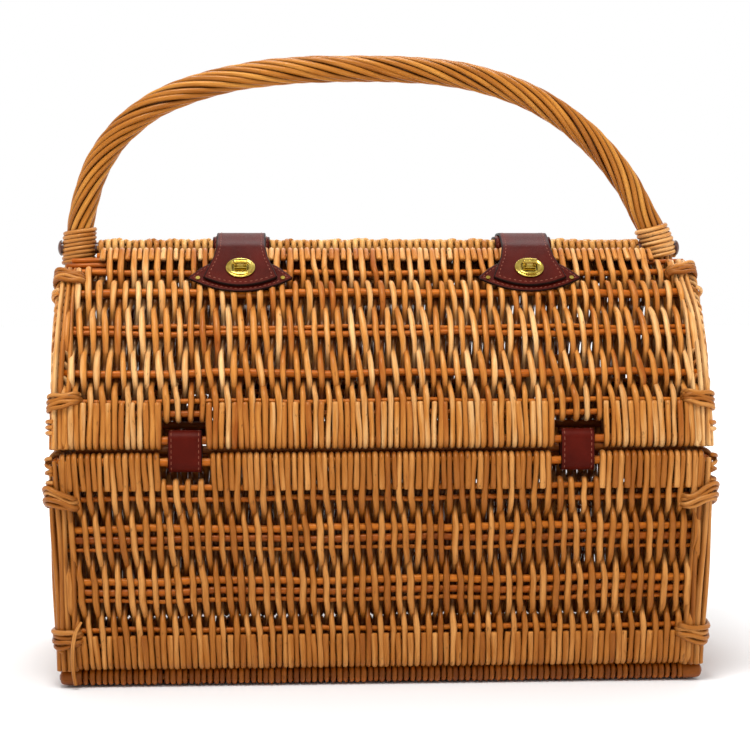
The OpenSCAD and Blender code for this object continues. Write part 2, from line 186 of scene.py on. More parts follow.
def resample(p, step=None, count=None):
    p = np.asarray(p, float)
    d = np.concatenate([[0], np.cumsum(np.linalg.norm(np.diff(p[:, :3] if p.shape[1] > 3 else p, axis=0), axis=1))])
    n = count or max(2, int(round(d[-1] / step)) + 1)
    t = np.linspace(0, d[-1], n)
    return np.stack([np.interp(t, d, p[:, k]) for k in range(p.shape[1])], axis=1), t


def catmull(p, steps=8):
    p = np.asarray(p, float)
    out = []
    for i in range(len(p) - 1):
        p0, p1, p2, p3 = p[max(i - 1, 0)], p[i], p[i + 1], p[min(i + 2, len(p) - 1)]
        for k in range(steps):
            t = k / steps
            out.append(0.5 * (2 * p1 + (p2 - p0) * t + (2 * p0 - 5 * p1 + 4 * p2 - p3) * t * t + (3 * p1 - p0 - 3 * p2 + p3) * t ** 3))
    out.append(p[-1])
    return np.array(out)


# ---------------------------------------------------------------- materials
def nodes_of(name):
    m = bpy.data.materials.new(name)
    m.use_nodes = True
    nt = m.node_tree
    nt.nodes.clear()
    out = nt.nodes.new("ShaderNodeOutputMaterial")
    bs = nt.nodes.new("ShaderNodeBsdfPrincipled")
    nt.links.new(bs.outputs[0], out.inputs[0])
    return m, nt, bs


def node(nt, kind, inputs=None, **props):
    n = nt.nodes.new(kind)
    for k, v in props.items():
        setattr(n, k, v)
    for k, v in (inputs or {}).items():
        if hasattr(v, "links"):
            nt.links.new(v, n.inputs[k])
        else:
            n.inputs[k].default_value = v
    return n


def srgb(r, g, b):
    f = lambda c: (c / 255) / 12.92 if c <= 10 else ((c / 255 + 0.055) / 1.055) ** 2.4
    return (f(r), f(g), f(b), 1)


def ramp(nt, fac, stops):
    r = node(nt, "ShaderNodeValToRGB", {"Fac": fac})
    e = r.color_ramp.elements
    while len(e) < len(stops):
        e.new(0.5)
    for s, (p, c) in zip(e, stops):
        s.position, s.color = p, c
    return r.outputs["Color"]


def mix(nt, fac, a, b, blend="MIX"):
    n = node(nt, "ShaderNodeMix", data_type="RGBA", blend_type=blend)
    for i, v in ((0, fac), (6, a), (7, b)):
        if hasattr(v, "links"):
            nt.links.new(v, n.inputs[i])
        else:
            n.inputs[i].default_value = v
    return n.outputs[2]


def maths(nt, op, *vals, clamp=False):
    n = node(nt, "ShaderNodeMath", operation=op, use_clamp=clamp)
    for i, v in enumerate(vals):
        if hasattr(v, "links"):
            nt.links.new(v, n.inputs[i])
        else:
            n.inputs[i].default_value = v
    return n.outputs[0]


def scaled(nt, vec, x, y, z):
    return node(nt, "ShaderNodeVectorMath", {0: vec, 1: (x, y, z)}, operation="MULTIPLY").outputs[0]


def noise(nt, vec, scale=1.0, detail=3.0, rough=0.55):
    return node(nt, "ShaderNodeTexNoise", {"Vector": vec, "Scale": scale, "Detail": detail, "Roughness": rough}).outputs["Fac"]


def willow(name, light, mid, dark, gap, coat=0.07, rough=(0.32, 0.5), spots=0.6):
    """Peeled willow: tone by rod, long streaks and fine grain along the rod, painted shade in the gaps and on the
    flanks, varnished.
    """
    m, nt, bs = nodes_of(name)
    rnd = node(nt, "ShaderNodeAttribute", attribute_name="rnd").outputs["Fac"]
    deep = node(nt, "ShaderNodeAttribute", attribute_name="deep").outputs["Fac"]
    rod = node(nt, "ShaderNodeAttribute", attribute_name="rodco").outputs["Vector"]
    long_ = noise(nt, scaled(nt, rod, 0.16, 0.16, 0.022), 1.0, 2.0)
    streak = noise(nt, scaled(nt, rod, 0.9, 0.9, 0.03), 1.0, 4.0, 0.6)
    fine = noise(nt, scaled(nt, rod, 3.2, 3.2, 0.11), 1.0, 3.0, 0.6)
    tone = maths(nt, "ADD", maths(nt, "MULTIPLY", rnd, 0.34), maths(nt, "MULTIPLY", long_, 0.70))
    base = ramp(nt, tone, [(0.22, light), (0.5, mid), (0.80, dark)])
    st = maths(nt, "MULTIPLY", maths(nt, "SUBTRACT", streak, 0.47, clamp=True), 3.2, clamp=True)
    col = mix(nt, maths(nt, "MULTIPLY", st, 0.62), base, dark)
    fi = maths(nt, "MULTIPLY", maths(nt, "SUBTRACT", fine, 0.52, clamp=True), 4.0, clamp=True)
    col = mix(nt, maths(nt, "MULTIPLY", fi, 0.35), col, gap)
    spot = noise(nt, scaled(nt, rod, 0.28, 0.28, 0.16), 1.0, 2.0)
    sp = maths(nt, "MULTIPLY", maths(nt, "SUBTRACT", spot, 0.66, clamp=True), 9.0, clamp=True)
    col = mix(nt, maths(nt, "MULTIPLY", sp, spots), col, gap)
    # painted shade: towards the gap colour where the attribute says shade falls
    col = mix(nt, deep, col, gap)
    nt.links.new(col, bs.inputs["Base Color"])
    rg = maths(nt, "ADD", rough[0], maths(nt, "MULTIPLY", streak, rough[1] - rough[0]))
    nt.links.new(rg, bs.inputs["Roughness"])
    bs.inputs["Coat Weight"].default_value = coat
    bs.inputs["Coat Roughness"].default_value = 0.22
    bs.inputs["Specular IOR Level"].default_value = 0.42
    bs.inputs["Specular Tint"].default_value = (1.0, 0.62, 0.30, 1)
    h = maths(nt, "ADD", maths(nt, "MULTIPLY", streak, 0.6), maths(nt, "MULTIPLY", fine, 0.4))
    bump = node(nt, "ShaderNodeBump", {"Strength": 0.45, "Distance": 0.0005, "Height": h})
    nt.links.new(bump.outputs[0], bs.inputs["Normal"])
    return m


# the dark of the fine grain and knots, and also of the painted shade in the gaps
GAP_SHADE_AND_KNOTS = srgb(56, 11, 0)
# one willow in lit and shaded copies: painted light on the lid's copy, painted shade on the tub's and more on the
# foot's
M_WILLOW_SHADED = willow("willow_weave", srgb(222, 158, 88), srgb(174, 106, 40), srgb(134, 68, 12), GAP_SHADE_AND_KNOTS)
M_WILLOW_LIT = willow("willow_painted_light", srgb(255, 212, 148), srgb(210, 138, 62), srgb(154, 76, 16), GAP_SHADE_AND_KNOTS)
M_STAKE = willow("willow_stake", srgb(216, 122, 30), srgb(192, 96, 16), srgb(142, 62, 5), GAP_SHADE_AND_KNOTS)
M_WILLOW_DEEP_SHADED = willow("willow_painted_deep_shade", srgb(186, 104, 30), srgb(156, 80, 16), srgb(116, 52, 5), srgb(44, 9, 0))
M_HONEY = willow("willow_honey", srgb(214, 148, 64), srgb(182, 112, 36), srgb(140, 76, 16), srgb(54, 14, 0), coat=0.16, rough=(0.28, 0.44), spots=0.3)
M_SPINE = willow("willow_spine", srgb(240, 192, 120), srgb(216, 154, 80), srgb(168, 96, 34), GAP_SHADE_AND_KNOTS)


def leather_material(name, base, high, edge_col):
    m, nt, bs = nodes_of(name)
    edge = node(nt, "ShaderNodeAttribute", attribute_name="deep").outputs["Fac"]
    co = node(nt, "ShaderNodeTexCoord").outputs["Object"]
    big = noise(nt, co, 46.0, 3.0)
    grain = node(nt, "ShaderNodeTexVoronoi", {"Vector": co, "Scale": 1150.0}, feature="DISTANCE_TO_EDGE").outputs["Distance"]
    pore = noise(nt, co, 2600.0, 2.0)
    col = ramp(nt, big, [(0.30, base), (0.72, high)])
    cr = maths(nt, "MULTIPLY", maths(nt, "SUBTRACT", 0.09, grain, clamp=True), 6.0, clamp=True)
    col = mix(nt, maths(nt, "MULTIPLY", cr, 0.35), col, edge_col)
    col = mix(nt, edge, col, edge_col)
    nt.links.new(col, bs.inputs["Base Color"])
    rg = maths(nt, "ADD", 0.36, maths(nt, "MULTIPLY", big, 0.14))
    nt.links.new(rg, bs.inputs["Roughness"])
    bs.inputs["Coat Weight"].default_value = 0.01
    bs.inputs["Specular IOR Level"].default_value = 0.10
    bs.inputs["Specular Tint"].default_value = (1.0, 0.6, 0.48, 1)
    bs.inputs["Coat Roughness"].default_value = 0.3
    h = maths(nt, "ADD", maths(nt, "MULTIPLY", maths(nt, "MINIMUM", grain, 0.16), 3.0), maths(nt, "MULTIPLY", pore, 0.3))
    bump = node(nt, "ShaderNodeBump", {"Strength": 0.3, "Distance": 0.0003, "Height": h})
    nt.links.new(bump.outputs[0], bs.inputs["Normal"])
    return m


M_LEATHER = leather_material("leather_ox", srgb(62, 9, 4), srgb(84, 17, 8), srgb(16, 3, 2))


def thread_material():
    m, nt, bs = nodes_of("waxed_thread")
    co = node(nt, "ShaderNodeTexCoord").outputs["Object"]
    n = noise(nt, co, 3000.0, 2.0)
    nt.links.new(ramp(nt, n, [(0.35, srgb(104, 40, 20)), (0.7, srgb(150, 76, 44))]), bs.inputs["Base Color"])
    bs.inputs["Roughness"].default_value = 0.55
    bump = node(nt, "ShaderNodeBump", {"Strength": 0.3, "Distance": 0.0002, "Height": n})
    nt.links.new(bump.outputs[0], bs.inputs["Normal"])
    return m


M_THREAD = thread_material()


def brass_material():
    m, nt, bs = nodes_of("polished_brass")
    co = node(nt, "ShaderNodeTexCoord").outputs["Object"]
    n = noise(nt, co, 120.0, 3.0)
    s = noise(nt, scaled(nt, co, 300.0, 2600.0, 2600.0), 1.0, 2.0)
    nt.links.new(ramp(nt, n, [(0.3, srgb(172, 142, 54)), (0.7, srgb(214, 190, 98))]), bs.inputs["Base Color"])
    bs.inputs["Metallic"].default_value = 1.0
    nt.links.new(maths(nt, "ADD", 0.13, maths(nt, "MULTIPLY", n, 0.14)), bs.inputs["Roughness"])
    bump = node(nt, "ShaderNodeBump", {"Strength": 0.06, "Distance": 0.0002, "Height": s})
    nt.links.new(bump.outputs[0], bs.inputs["Normal"])
    return m


M_BRASS = brass_material()


def stain_material():
    m, nt, bs = nodes_of("stained_wood")
    co = node(nt, "ShaderNodeTexCoord").outputs["Object"]
    g = noise(nt, scaled(nt, co, 60.0, 900.0, 900.0), 1.0, 4.0, 0.6)
    nt.links.new(ramp(nt, g, [(0.3, srgb(58, 26, 12)), (0.7, srgb(96, 48, 22))]), bs.inputs["Base Color"])
    nt.links.new(maths(nt, "ADD", 0.3, maths(nt, "MULTIPLY", g, 0.2)), bs.inputs["Roughness"])
    bs.inputs["Coat Weight"].default_value = 0.3
    bump = node(nt, "ShaderNodeBump", {"Strength": 0.2, "Distance": 0.0002, "Height": g})
    nt.links.new(bump.outputs[0], bs.inputs["Normal"])
    return m


M_STAIN = stain_material()

# ---------------------------------------------------------------- weaving
# stakes: (place along the weaver in mm, kind, stake radius, is it a pair's second rod)
# kind F: every weaver in front. O: odd weavers in front. E: even weavers in front.


def weaver(stakes, odd, top, bottom, tail_top=15.0, tail_bottom=15.0, step=2.7, amp=AMP, blunt=True, part_top=True, part_bottom=True, rc=2.14, stub=4.0, inner=2.75):
    """One weaver as a list of rods (s along, n outward, m sideways, r radius), from the inner tail over the top to the inner tail at the bottom.
    Next to a rim zone the short rods end bluntly and a new rod starts behind, so a weaver can be up to three rods."""
    pts = []
    for s, kind, _ in sorted(stakes, reverse=True):
        if bottom - 0.01 <= s <= top + 0.01:
            front = kind == "F" or (kind == "O") == odd
            pts.append([s, 1.0 if front else -1.0, kind != "F" and front, kind])
    if not pts or pts[0][0] < top - 0.01:
        pts.insert(0, [top, 1.0, False, "F"])
    if pts[-1][0] > bottom + 0.01:
        pts.append([bottom, 1.0, False, "F"])
    for e in (0, -1):
        pts[e][1:] = [1.0, False, "F"]
    s = np.linspace(top, bottom, max(4, int(round((top - bottom) / step)) + 1))
    n = np.ones_like(s)
    m = np.zeros_like(s)
    r = np.full_like(s, 2.25)
    cut_top = cut_bot = None
    for (s0, n0, a0, k0), (s1, n1, a1, k1) in zip(pts[:-1], pts[1:]):
        if s1 >= s0:
            continue
        k = (s <= s0) & (s >= s1)
        t = (s0 - s[k]) / (s0 - s1)
        w = min(0.5, max(6.0, 0.32 * (s0 - s1)) / (s0 - s1))
        tt = ease((t - 0.5 + w) / (2 * w))
        n[k] = n0 + (n1 - n0) * tt
        ra = 2.58 if a0 else (2.25 if n0 > 0 else inner)
        rb = 2.58 if a1 else (2.25 if n1 > 0 else inner)
        if n0 != n1:
            m[k] = np.sin(PI * t) * (1.0 if n0 > 0 else -1.0)
            r[k] = np.where(t < 0.5, ra + (rc - ra) * ease(2 * t), rc + (rb - rc) * ease(2 * t - 1))
            if blunt and k0 == "F" and n1 < 0 and cut_top is None:
                cut_top = (s0, s1)
            if blunt and k1 == "F" and n0 < 0:
                cut_bot = (s0, s1)
        else:
            r[k] = ra + (rb - ra) * ease(t)

    def wrap(e, sign, tail):
        th = np.linspace(0, PI, 10)[1:]
        tl = np.linspace(0, tail, 5)[1:]
        return (
            np.concatenate([e + sign * amp * np.sin(th), e - sign * tl]), np.concatenate([amp * np.cos(th), np.full(4, -amp - 0.4)]),
            np.concatenate([0 * th, 0.9 * tl / tail]), np.full(13, 2.2),
        )

    up = [q[::-1] for q in wrap(top, 1, tail_top)]
    dn = wrap(bottom, -1, tail_bottom)
    body = [s, n * amp, m, r]
    out = []
    lo_i, hi_i = 0, len(s)
    if cut_top:
        if part_top:
            e = np.linspace(top, min(cut_top[0] - 1.0, top - stub), max(3, int((top - cut_top[0]) / step) + 4))
            piece = [e, amp + 0.35 * ease((top - e) / 14.0), 0.5 * ease((top - e) / 20.0), 2.25 + 0.22 * ease((top - e) / 14.0)]
            out.append([np.concatenate(q) for q in zip(up, piece)])
        lo_i = int(np.argmax(s <= cut_top[0] - 0.05 * (cut_top[0] - cut_top[1])))
        k = s[:hi_i] >= cut_top[1]
        body[1] = np.where(k, -amp, body[1])
        body[3] = np.where(k, 2.4, body[3])
    if cut_bot:
        if part_bottom:
            e = np.linspace(cut_bot[1] + 0.62 * (cut_bot[0] - cut_bot[1]) + 1.0, bottom, max(3, int((cut_bot[1] - bottom) / step) + 4))
            piece = [e, amp + 0.35 * ease((e - bottom) / 12.0), -0.5 * ease((e - bottom) / 20.0), 2.25 + 0.25 * ease((e - bottom) / 10.0)]
            out.append([np.concatenate(q) for q in zip(piece, dn)])
        hi_i = int(len(s) - np.argmax(s[::-1] >= cut_bot[1] + 0.05 * (cut_bot[0] - cut_bot[1])))
        k = s <= cut_bot[0]
        body[1] = np.where(k, -amp, body[1])
        body[3] = np.where(k, 2.4, body[3])
    body = [q[lo_i:hi_i] for q in body]
    if not cut_top:
        body = [np.concatenate(q) for q in zip(up, body)]
    if not cut_bot:
        body = [np.concatenate(q) for q in zip(body, dn)]
    out.append(body)
    return out


FIELD = [(rng.uniform(14, 46), rng.uniform(70, 190), rng.uniform(0, 2 * PI), rng.uniform(0.10, 0.24)) for _ in range(9)]


def field(x, s):
    """A gentle drift that neighbouring weavers share."""
    out = 0
    for lx, ls, ph, am in FIELD:
        out = out + am * np.sin(2 * PI * (x / lx + s / ls) + ph)
    return out


def weave(b, place, ref, lo, hi, stakes, span, cut=None, sides=8, amp=AMP, loose=(0.85, 0.5), drift=1.35, rc=2.14, jit=0.3, stub=4.0, inner=2.75, shade=None):
    """Weavers side by side from lo to hi. span = (top, bottom) along. cut(x) gives another span where something interrupts them."""
    count = int(round((hi - lo) / PITCH))
    xs = lo + (np.arange(count) + 0.5) * (hi - lo) / count
    groups = {}
    for i, x in enumerate(xs):
        sp = (cut(x) if cut else None) or span
        groups.setdefault((i % 2 == 1, sp), []).append(x)
    for (odd, (top, bottom)), gx in groups.items():
        gx = np.array(gx)[:, None]
        W = len(gx)
        x_off = rng.uniform(-jit, jit, (W, 1))
        lean = loose[0] * rng.uniform(0.2, 1.8, (W, 1))
        fat = rng.uniform(0.88 if jit > 0.2 else 0.98, 1.10, (W, 1))
        for s, n, m, r in weaver(stakes, odd, top, bottom, amp=amp, part_top=top == span[0], part_bottom=bottom == span[1], rc=rc, stub=stub, inner=inner):
            S = np.broadcast_to(s, (W, len(s))).copy()
            edge = ease(np.minimum(span[0] - S, S - span[1]) / 24.0)
            edge = 0.30 + 0.70 * edge
            ph = rng.uniform(0, 2 * PI, (W, 2))
            lam = rng.uniform(55, 130, (W, 1))
            if n[0] > 0 and len(s) < 40:  # a blunt rod: its end is cut at its own height
                S[:, -3:] += rng.uniform(-1.2, 1.2, (W, 1)) * (s[-1] > s[-2] - 99) * (n[-1] > 0)
            X = gx + x_off + lean * m
            X = X + edge * (loose[1] * np.sin(2 * PI * S / lam + ph[:, :1]) + drift * field(gx, S))
            N = n + (0.35 * np.sin(2 * PI * S / (lam * 0.6) + ph[:, 1:]) + rng.uniform(-0.25, 0.25, (W, 1))) * edge
            R = r * fat * (1 + 0.04 * np.sin(2 * PI * S / (lam * 0.8) + ph[:, 1:]))
            P = place(X, S, N)
            O = place(X, S, N + 1.0) - P
            tubes(b, P, R, ref, sides, rng.random(W), 0.0 if shade is None else shade(S), O, N / amp)


def lay_stakes(b, place, ref, lo, hi, stakes, ends=None, sides=10, step=9.0, pull=5.0):
    """The rods that the weavers pass."""
    for s, kind, r in stakes:
        a, c = (ends(s) if ends else None) or (lo - pull, hi + pull)
        x = np.linspace(a, c, max(4, int((c - a) / step)))
        ph = rng.uniform(0, 2 * PI, 4)
        amp = 0.3 if kind == "F" else 0.75
        z = s + amp * np.sin(2 * PI * x / 143 + ph[0]) + 0.4 * amp * np.sin(2 * PI * x / 61 + ph[1])
        n = 0.3 * np.sin(2 * PI * x / 97 + ph[2])
        rr = r * (1 + 0.05 * np.sin(2 * PI * x / 210 + ph[3]))
        P = place(x[None], z[None], n[None])
        tubes(b, P, rr[None], ref, sides, None, 0.0, place(x[None], z[None], n[None] + 1.0) - P, 0.15)


TUB = [
    (168.3, "F", 3.2), (149.0, "F", 2.3), (140.6, "E", 2.0), (118.6, "O", 2.9), (110.8, "O", 2.9), (103.6, "O", 1.5),
    (79.4, "E", 2.9), (71.6, "E", 2.8), (65.0, "E", 1.8), (42.6, "O", 2.2), (31.0, "F", 1.9), (20.05, "F", 2.7),
]


def place_wall(sy):
    def f(x, s, n):
        k = hx(s) / 247
        return np.stack([x * k, sy * ((hy(s) - 7) + n), s + 0 * x], axis=-1)

    return f


def place_end(sx):
    def f(y, s, n):
        return np.stack([sx * ((hx(s) - 7) + n), y * hy(s) / 115, s + 0 * y], axis=-1)

    return f


SLOTS = ((-163.0, -129.0), (126.0, 160.0))


def in_slot(x, sy=-1):
    e = 0.6 if sy < 0 else -3.6
    return any(a - e < x < c + e for a, c in SLOTS)


X_AX, Y_AX, Z_AX = (1.0, 0.0, 0.0), (0.0, 1.0, 0.0), (0.0, 0.0, 1.0)
TOP, BOT = 168.3, 20.05

for side, sy in (("front", -1), ("back", 1)):
    b = Bundle()
    pl = place_wall(sy)
    low = 149.0 if sy < 0 else 152.0
    # the back is woven tighter, so no light shows through from behind
    tight = {} if sy < 0 else {"rc": 2.36, "loose": (0.1, 0.12), "drift": 0.4, "jit": 0.06, "inner": 3.5}
    weave(b, pl, X_AX, -238.0, 238.0, TUB, (TOP, BOT), cut=lambda x: (low, BOT) if in_slot(x, sy) else None, **tight)
    b.build(f"{side}_wall_weave", M_WILLOW_SHADED, "basket", [f"{side}_wall"])
    b = Bundle()
    lay_stakes(b, pl, Z_AX, -233, 233, TUB, pull=6)
    # a rod inside the rim, which closes the line where lid and tub meet, darkened with painted shade
    x = np.linspace(-226, 226, 40)
    tubes(b, np.stack([x, sy * (96.2 + 0.2 * np.sin(x / 40)), 176.0 + 0.3 * np.sin(x / 57)], axis=-1)[None], 3.3, Z_AX, 10, 0.8, 0.55)
    b.build(f"{side}_wall_stakes", M_STAKE, "basket", [f"{side}_rim_rod"])

for side, sx in (("left", -1), ("right", 1)):
    b = Bundle()
    pl = place_end(sx)
    weave(b, pl, Y_AX, -101.0, 101.0, TUB, (TOP, BOT), cut=lambda y: (103.6, BOT) if abs(y) < 5.2 else None, rc=2.34, loose=(0.12, 0.2), drift=0.5, jit=0.08)
    b.build(f"{side}_end_weave", M_WILLOW_SHADED, "basket", [f"{side}_end_wall"])
    b = Bundle()
    lay_stakes(b, pl, Z_AX, -101, 101, TUB, pull=6)
    b.build(f"{side}_end_stakes", M_STAKE, "basket")

# ---------------------------------------------------------------- base
BASE_A = 4.42


def place_base(x, s, n):
    return np.stack([x + 0 * s, s + 0 * x, 7.3 - n], axis=-1)


BASE = [(97.4, "F", 2.4)] + [(y, "OE"[i % 2], 2.4) for i, y in enumerate((76, 57, 38, 19, 0, -19, -38, -57, -76))] + [(-97.4, "F", 2.4)]
b = Bundle()
weave(b, place_base, X_AX, -227.5, 230.0, BASE, (97.4, -97.4), amp=BASE_A, loose=(0.3, 0.2), drift=0.5)
b.build("base_weave", M_WILLOW_DEEP_SHADED, "basket", ["base_border", "base_panel"])
b = Bundle()
lay_stakes(b, place_base, Z_AX, -230, 230, BASE, pull=1.5)
for sx in (-1, 1):
    # plain thick ends, which close the foot at both sides, with some painted shade
    y = np.linspace(-98.0, 98.0, 24)
    p = np.stack([sx * (233.2 + 0 * y), y, 6.9 + 0.2 * np.sin(y / 21)], axis=-1)
    tubes(b, p[None], 6.2, Z_AX, 16, 0.8, 0.25)
    for sy in (-1, 1):
        x = np.array([239.6, 239.2, 238.4, 237.0, 234.0, 230.0, 226.0])
        p = np.stack([sx * x, sy * (98.2 + 0 * x), 7.4 + 0 * x], axis=-1)
        tubes(b, p[None], np.array([2.6, 4.0, 5.0, 5.7, 6.1, 6.2, 6.2])[None], Z_AX, 16, 0.8, 0.25)
b.build("base_stakes", M_WILLOW_DEEP_SHADED, "basket")

# ---------------------------------------------------------------- lids
RAD = PI / 180
LID = [
    (10.05, "F", 3.2), (15.3, "F", 2.4), (17.7, "E", 2.0), (23.5, "O", 3.0), (32.2, "E", 2.5), (33.6, "E", 1.9),
    (42.1, "O", 3.2), (47.8, "E", 2.4), (53.0, "F", 2.7),
]
LID = [(MID * a * RAD, k, r) for a, k, r in LID]
L_BOT, L_TOP = MID * 10.05 * RAD, MID * 53.0 * RAD
L_SLOT = MID * 15.3 * RAD
L_NOTCH_L, L_NOTCH_R = MID * 46.9 * RAD, MID * 49.2 * RAD


def place_lid(sy):
    def f(x, s, n):
        a = s / MID
        r = MID + n
        return np.stack([x + 0 * s, -sy * (ARC_Y - r * np.cos(a)), ARC_Z + r * np.sin(a)], axis=-1)

    return f


def lid_cut(x):
    if in_slot(x):
        return (L_TOP, L_SLOT)
    if x < -214.5:
        return (L_NOTCH_L, L_BOT)
    if x > 213.5:
        return (L_NOTCH_R, L_BOT)
    return None


def lid_cut_back(x):
    if in_slot(x) and not in_slot(x, 1):
        return None
    return lid_cut(x)


def lid_ends(s):
    a = s / MID / RAD
    lo, hi = -236.5, 236.5
    if a > 51.5:
        lo, hi = -216.0, 210.0
    elif a > 49.5:
        lo, hi = -219.0, 212.0
    return lo, hi


def lid_z(y):
    """Height of the lid's middle curve at that distance from the middle."""
    return ARC_Z + np.sqrt(MID ** 2 - (ARC_Y + y) ** 2)


for side, sy in (("front", -1), ("back", 1)):
    body = f"{side}_lid"
    b = Bundle()
    pl = place_lid(sy)
    # painted shade: the lower part of each lid is made darker
    weave(b, pl, X_AX, -236.0, 236.0, LID, (L_TOP, L_BOT), cut=lid_cut if sy < 0 else lid_cut_back, stub=10.0, shade=lambda q: 0.15 * ease((MID * 22 * RAD - q) / (MID * 6 * RAD)), **({} if sy < 0 else {"rc": 2.36, "loose": (0.1, 0.12), "drift": 0.4, "jit": 0.06, "inner": 3.5}))
    b.build(f"{side}_lid_weave", M_WILLOW_LIT, body, [f"{side}_lid_panel"])
    b = Bundle()
    lay_stakes(b, pl, Y_AX, -231, 231, LID, ends=lid_ends)
    # cut rod ends that show in the notches beside the handle's feet, with a little painted shade
    for x0, x1, a0 in ((-239.5, -205.0, 48.3), (-238.5, -207.0, 50.1), (-235.0, -206.0, 51.7), (206.0, 237.5, 51.3)):
        x = np.linspace(x0, x1, 6)
        s = MID * (a0 + 0.15 * np.sin(x / 9)) * RAD
        tubes(b, pl(x[None], s[None], 0 * x[None]), 2.1, Y_AX, 10, None, 0.1)
    b.build(f"{side}_lid_stakes", M_STAKE, body, [f"{side}_lid_rim_rod"])

    for end, sx, z_top in (("left", -1, 300.0), ("right", 1, 304.5)):
        b = Bundle()

        def ple(y, s, n, sx=sx, sy=sy):
            return np.stack([sx * (238 + n), sy * y + 0 * s, s + 0 * y], axis=-1)

        rows = [(184.5, "F", 2.9), (193.5, "F", 2.2), (207.0, "E", 2.2), (226.0, "O", 2.4), (246.0, "E", 2.4), (265.0, "O", 2.3), (282.0, "E", 2.2)]
        count = 19
        ys = 19.0 + (np.arange(count) + 0.5) * (101.5 - 19.0) / count
        for i, y in enumerate(ys):
            zt = min(float(lid_z(y)) - 1.0, z_top)
            fat = rng.uniform(0.9, 1.08)
            for q4 in weaver(rows, i % 2 == 1, zt, 184.3, tail_top=9, step=3.2, blunt=False, rc=2.34):
                s, n, m, r = [q[None] for q in q4]
                yy = y + 0.15 * m + 0.25 * np.sin(s / 17 + 0.4 * i)
                tubes(b, ple(yy, s, n), r * fat, Y_AX, 8, None, 0.0, (sx, 0, 0), n / AMP)
        b.build(f"{side}_lid_end_{end}_weave", M_WILLOW_LIT, body, [f"{side}_lid_end_{end}"])
        b = Bundle()
        for z, kind, r in rows + [(294.0, "F", 2.0), (z_top, "F", 2.6)]:
            c = (z - ARC_Z) / MID
            ymax = MID * math.sqrt(1 - c * c) - ARC_Y - 2
            y = np.linspace(16.5, ymax, 14)
            tubes(b, ple(y[None], z + 0.4 * np.sin(y[None] / 13), 0 * y[None]), r, Z_AX, 10, None, 0.0, (sx, 0, 0), 0.15)
        zz = np.linspace(184.5, z_top, 12)
        tubes(b, ple(0 * zz[None] + 17.0, zz[None], 0 * zz[None]), 2.6, Y_AX, 10, None, 0.0, (sx, 0, 0), 0.2)
        # the curved edge: long rods that follow the lid's end, crossing each other a little
        a1 = 47.8 if sx < 0 else 50.0
        a = np.linspace(8.4, a1, 60) * RAD
        u = (a - a[0]) / (a[-1] - a[0])
        draw_in = (-4.5 if sx > 0 else -1.0) * ease((a / RAD - 34) / 13)
        for k, (dn, dx, rr) in enumerate(((4.6, 2.6, 2.1), (1.0, 5.0, 2.6 if sx > 0 else 2.1), (-3.4, 4.8, 2.2), (5.0, -1.9, 2.1), (4.4, -6.2, 2.0), (-5.6, 1.4, 2.2), (0.4, 0.6, 3.0), (-3.0, -3.4, 2.4))):
            w = 1.1 * np.sin(a * 6 + k * 2.1) * np.sin(PI * u)
            w = w + draw_in
            P = pl(sx * (238 + dx + w)[None], (MID * a)[None], (dn + 0.8 * (w - draw_in)[::-1])[None])
            tubes(b, P, rr * (1 - 0.16 * u) * rng.uniform(0.93, 1.05), X_AX, 12, None, 0.0, pl(sx * (238 + dx + w + 0.7)[None], (MID * a)[None], (dn + 0.8 * (w - draw_in)[::-1] + 0.7)[None]) - P, None, 0.8)
        # small turns round the edge near the rim and near the top, with a little painted shade
        spots = [11.3, 12.4, 13.5] if sx < 0 else [11.5, 12.75]
        spots += [40.6, 41.5] if sx < 0 else [42.0]
        for a0 in spots:
            t = np.linspace(-1.3, 1.15, 16)
            cu, cn, rad_ = 239.2, 0.2, 7.2
            P = pl(sx * (cu + rad_ * np.cos(t))[None], (MID * (a0 + 0.25 * np.cos(t)) * RAD)[None], (cn + rad_ * np.sin(t))[None])
            tubes(b, P, 1.6 * rng.uniform(0.9, 1.1), (0.0, sy * math.sin(a0 * RAD), math.cos(a0 * RAD)), 8, None, 0.1, None)
        b.build(f"{side}_lid_post_{end}_rods", M_WILLOW_LIT, body, [f"{side}_lid_post_{end}"])

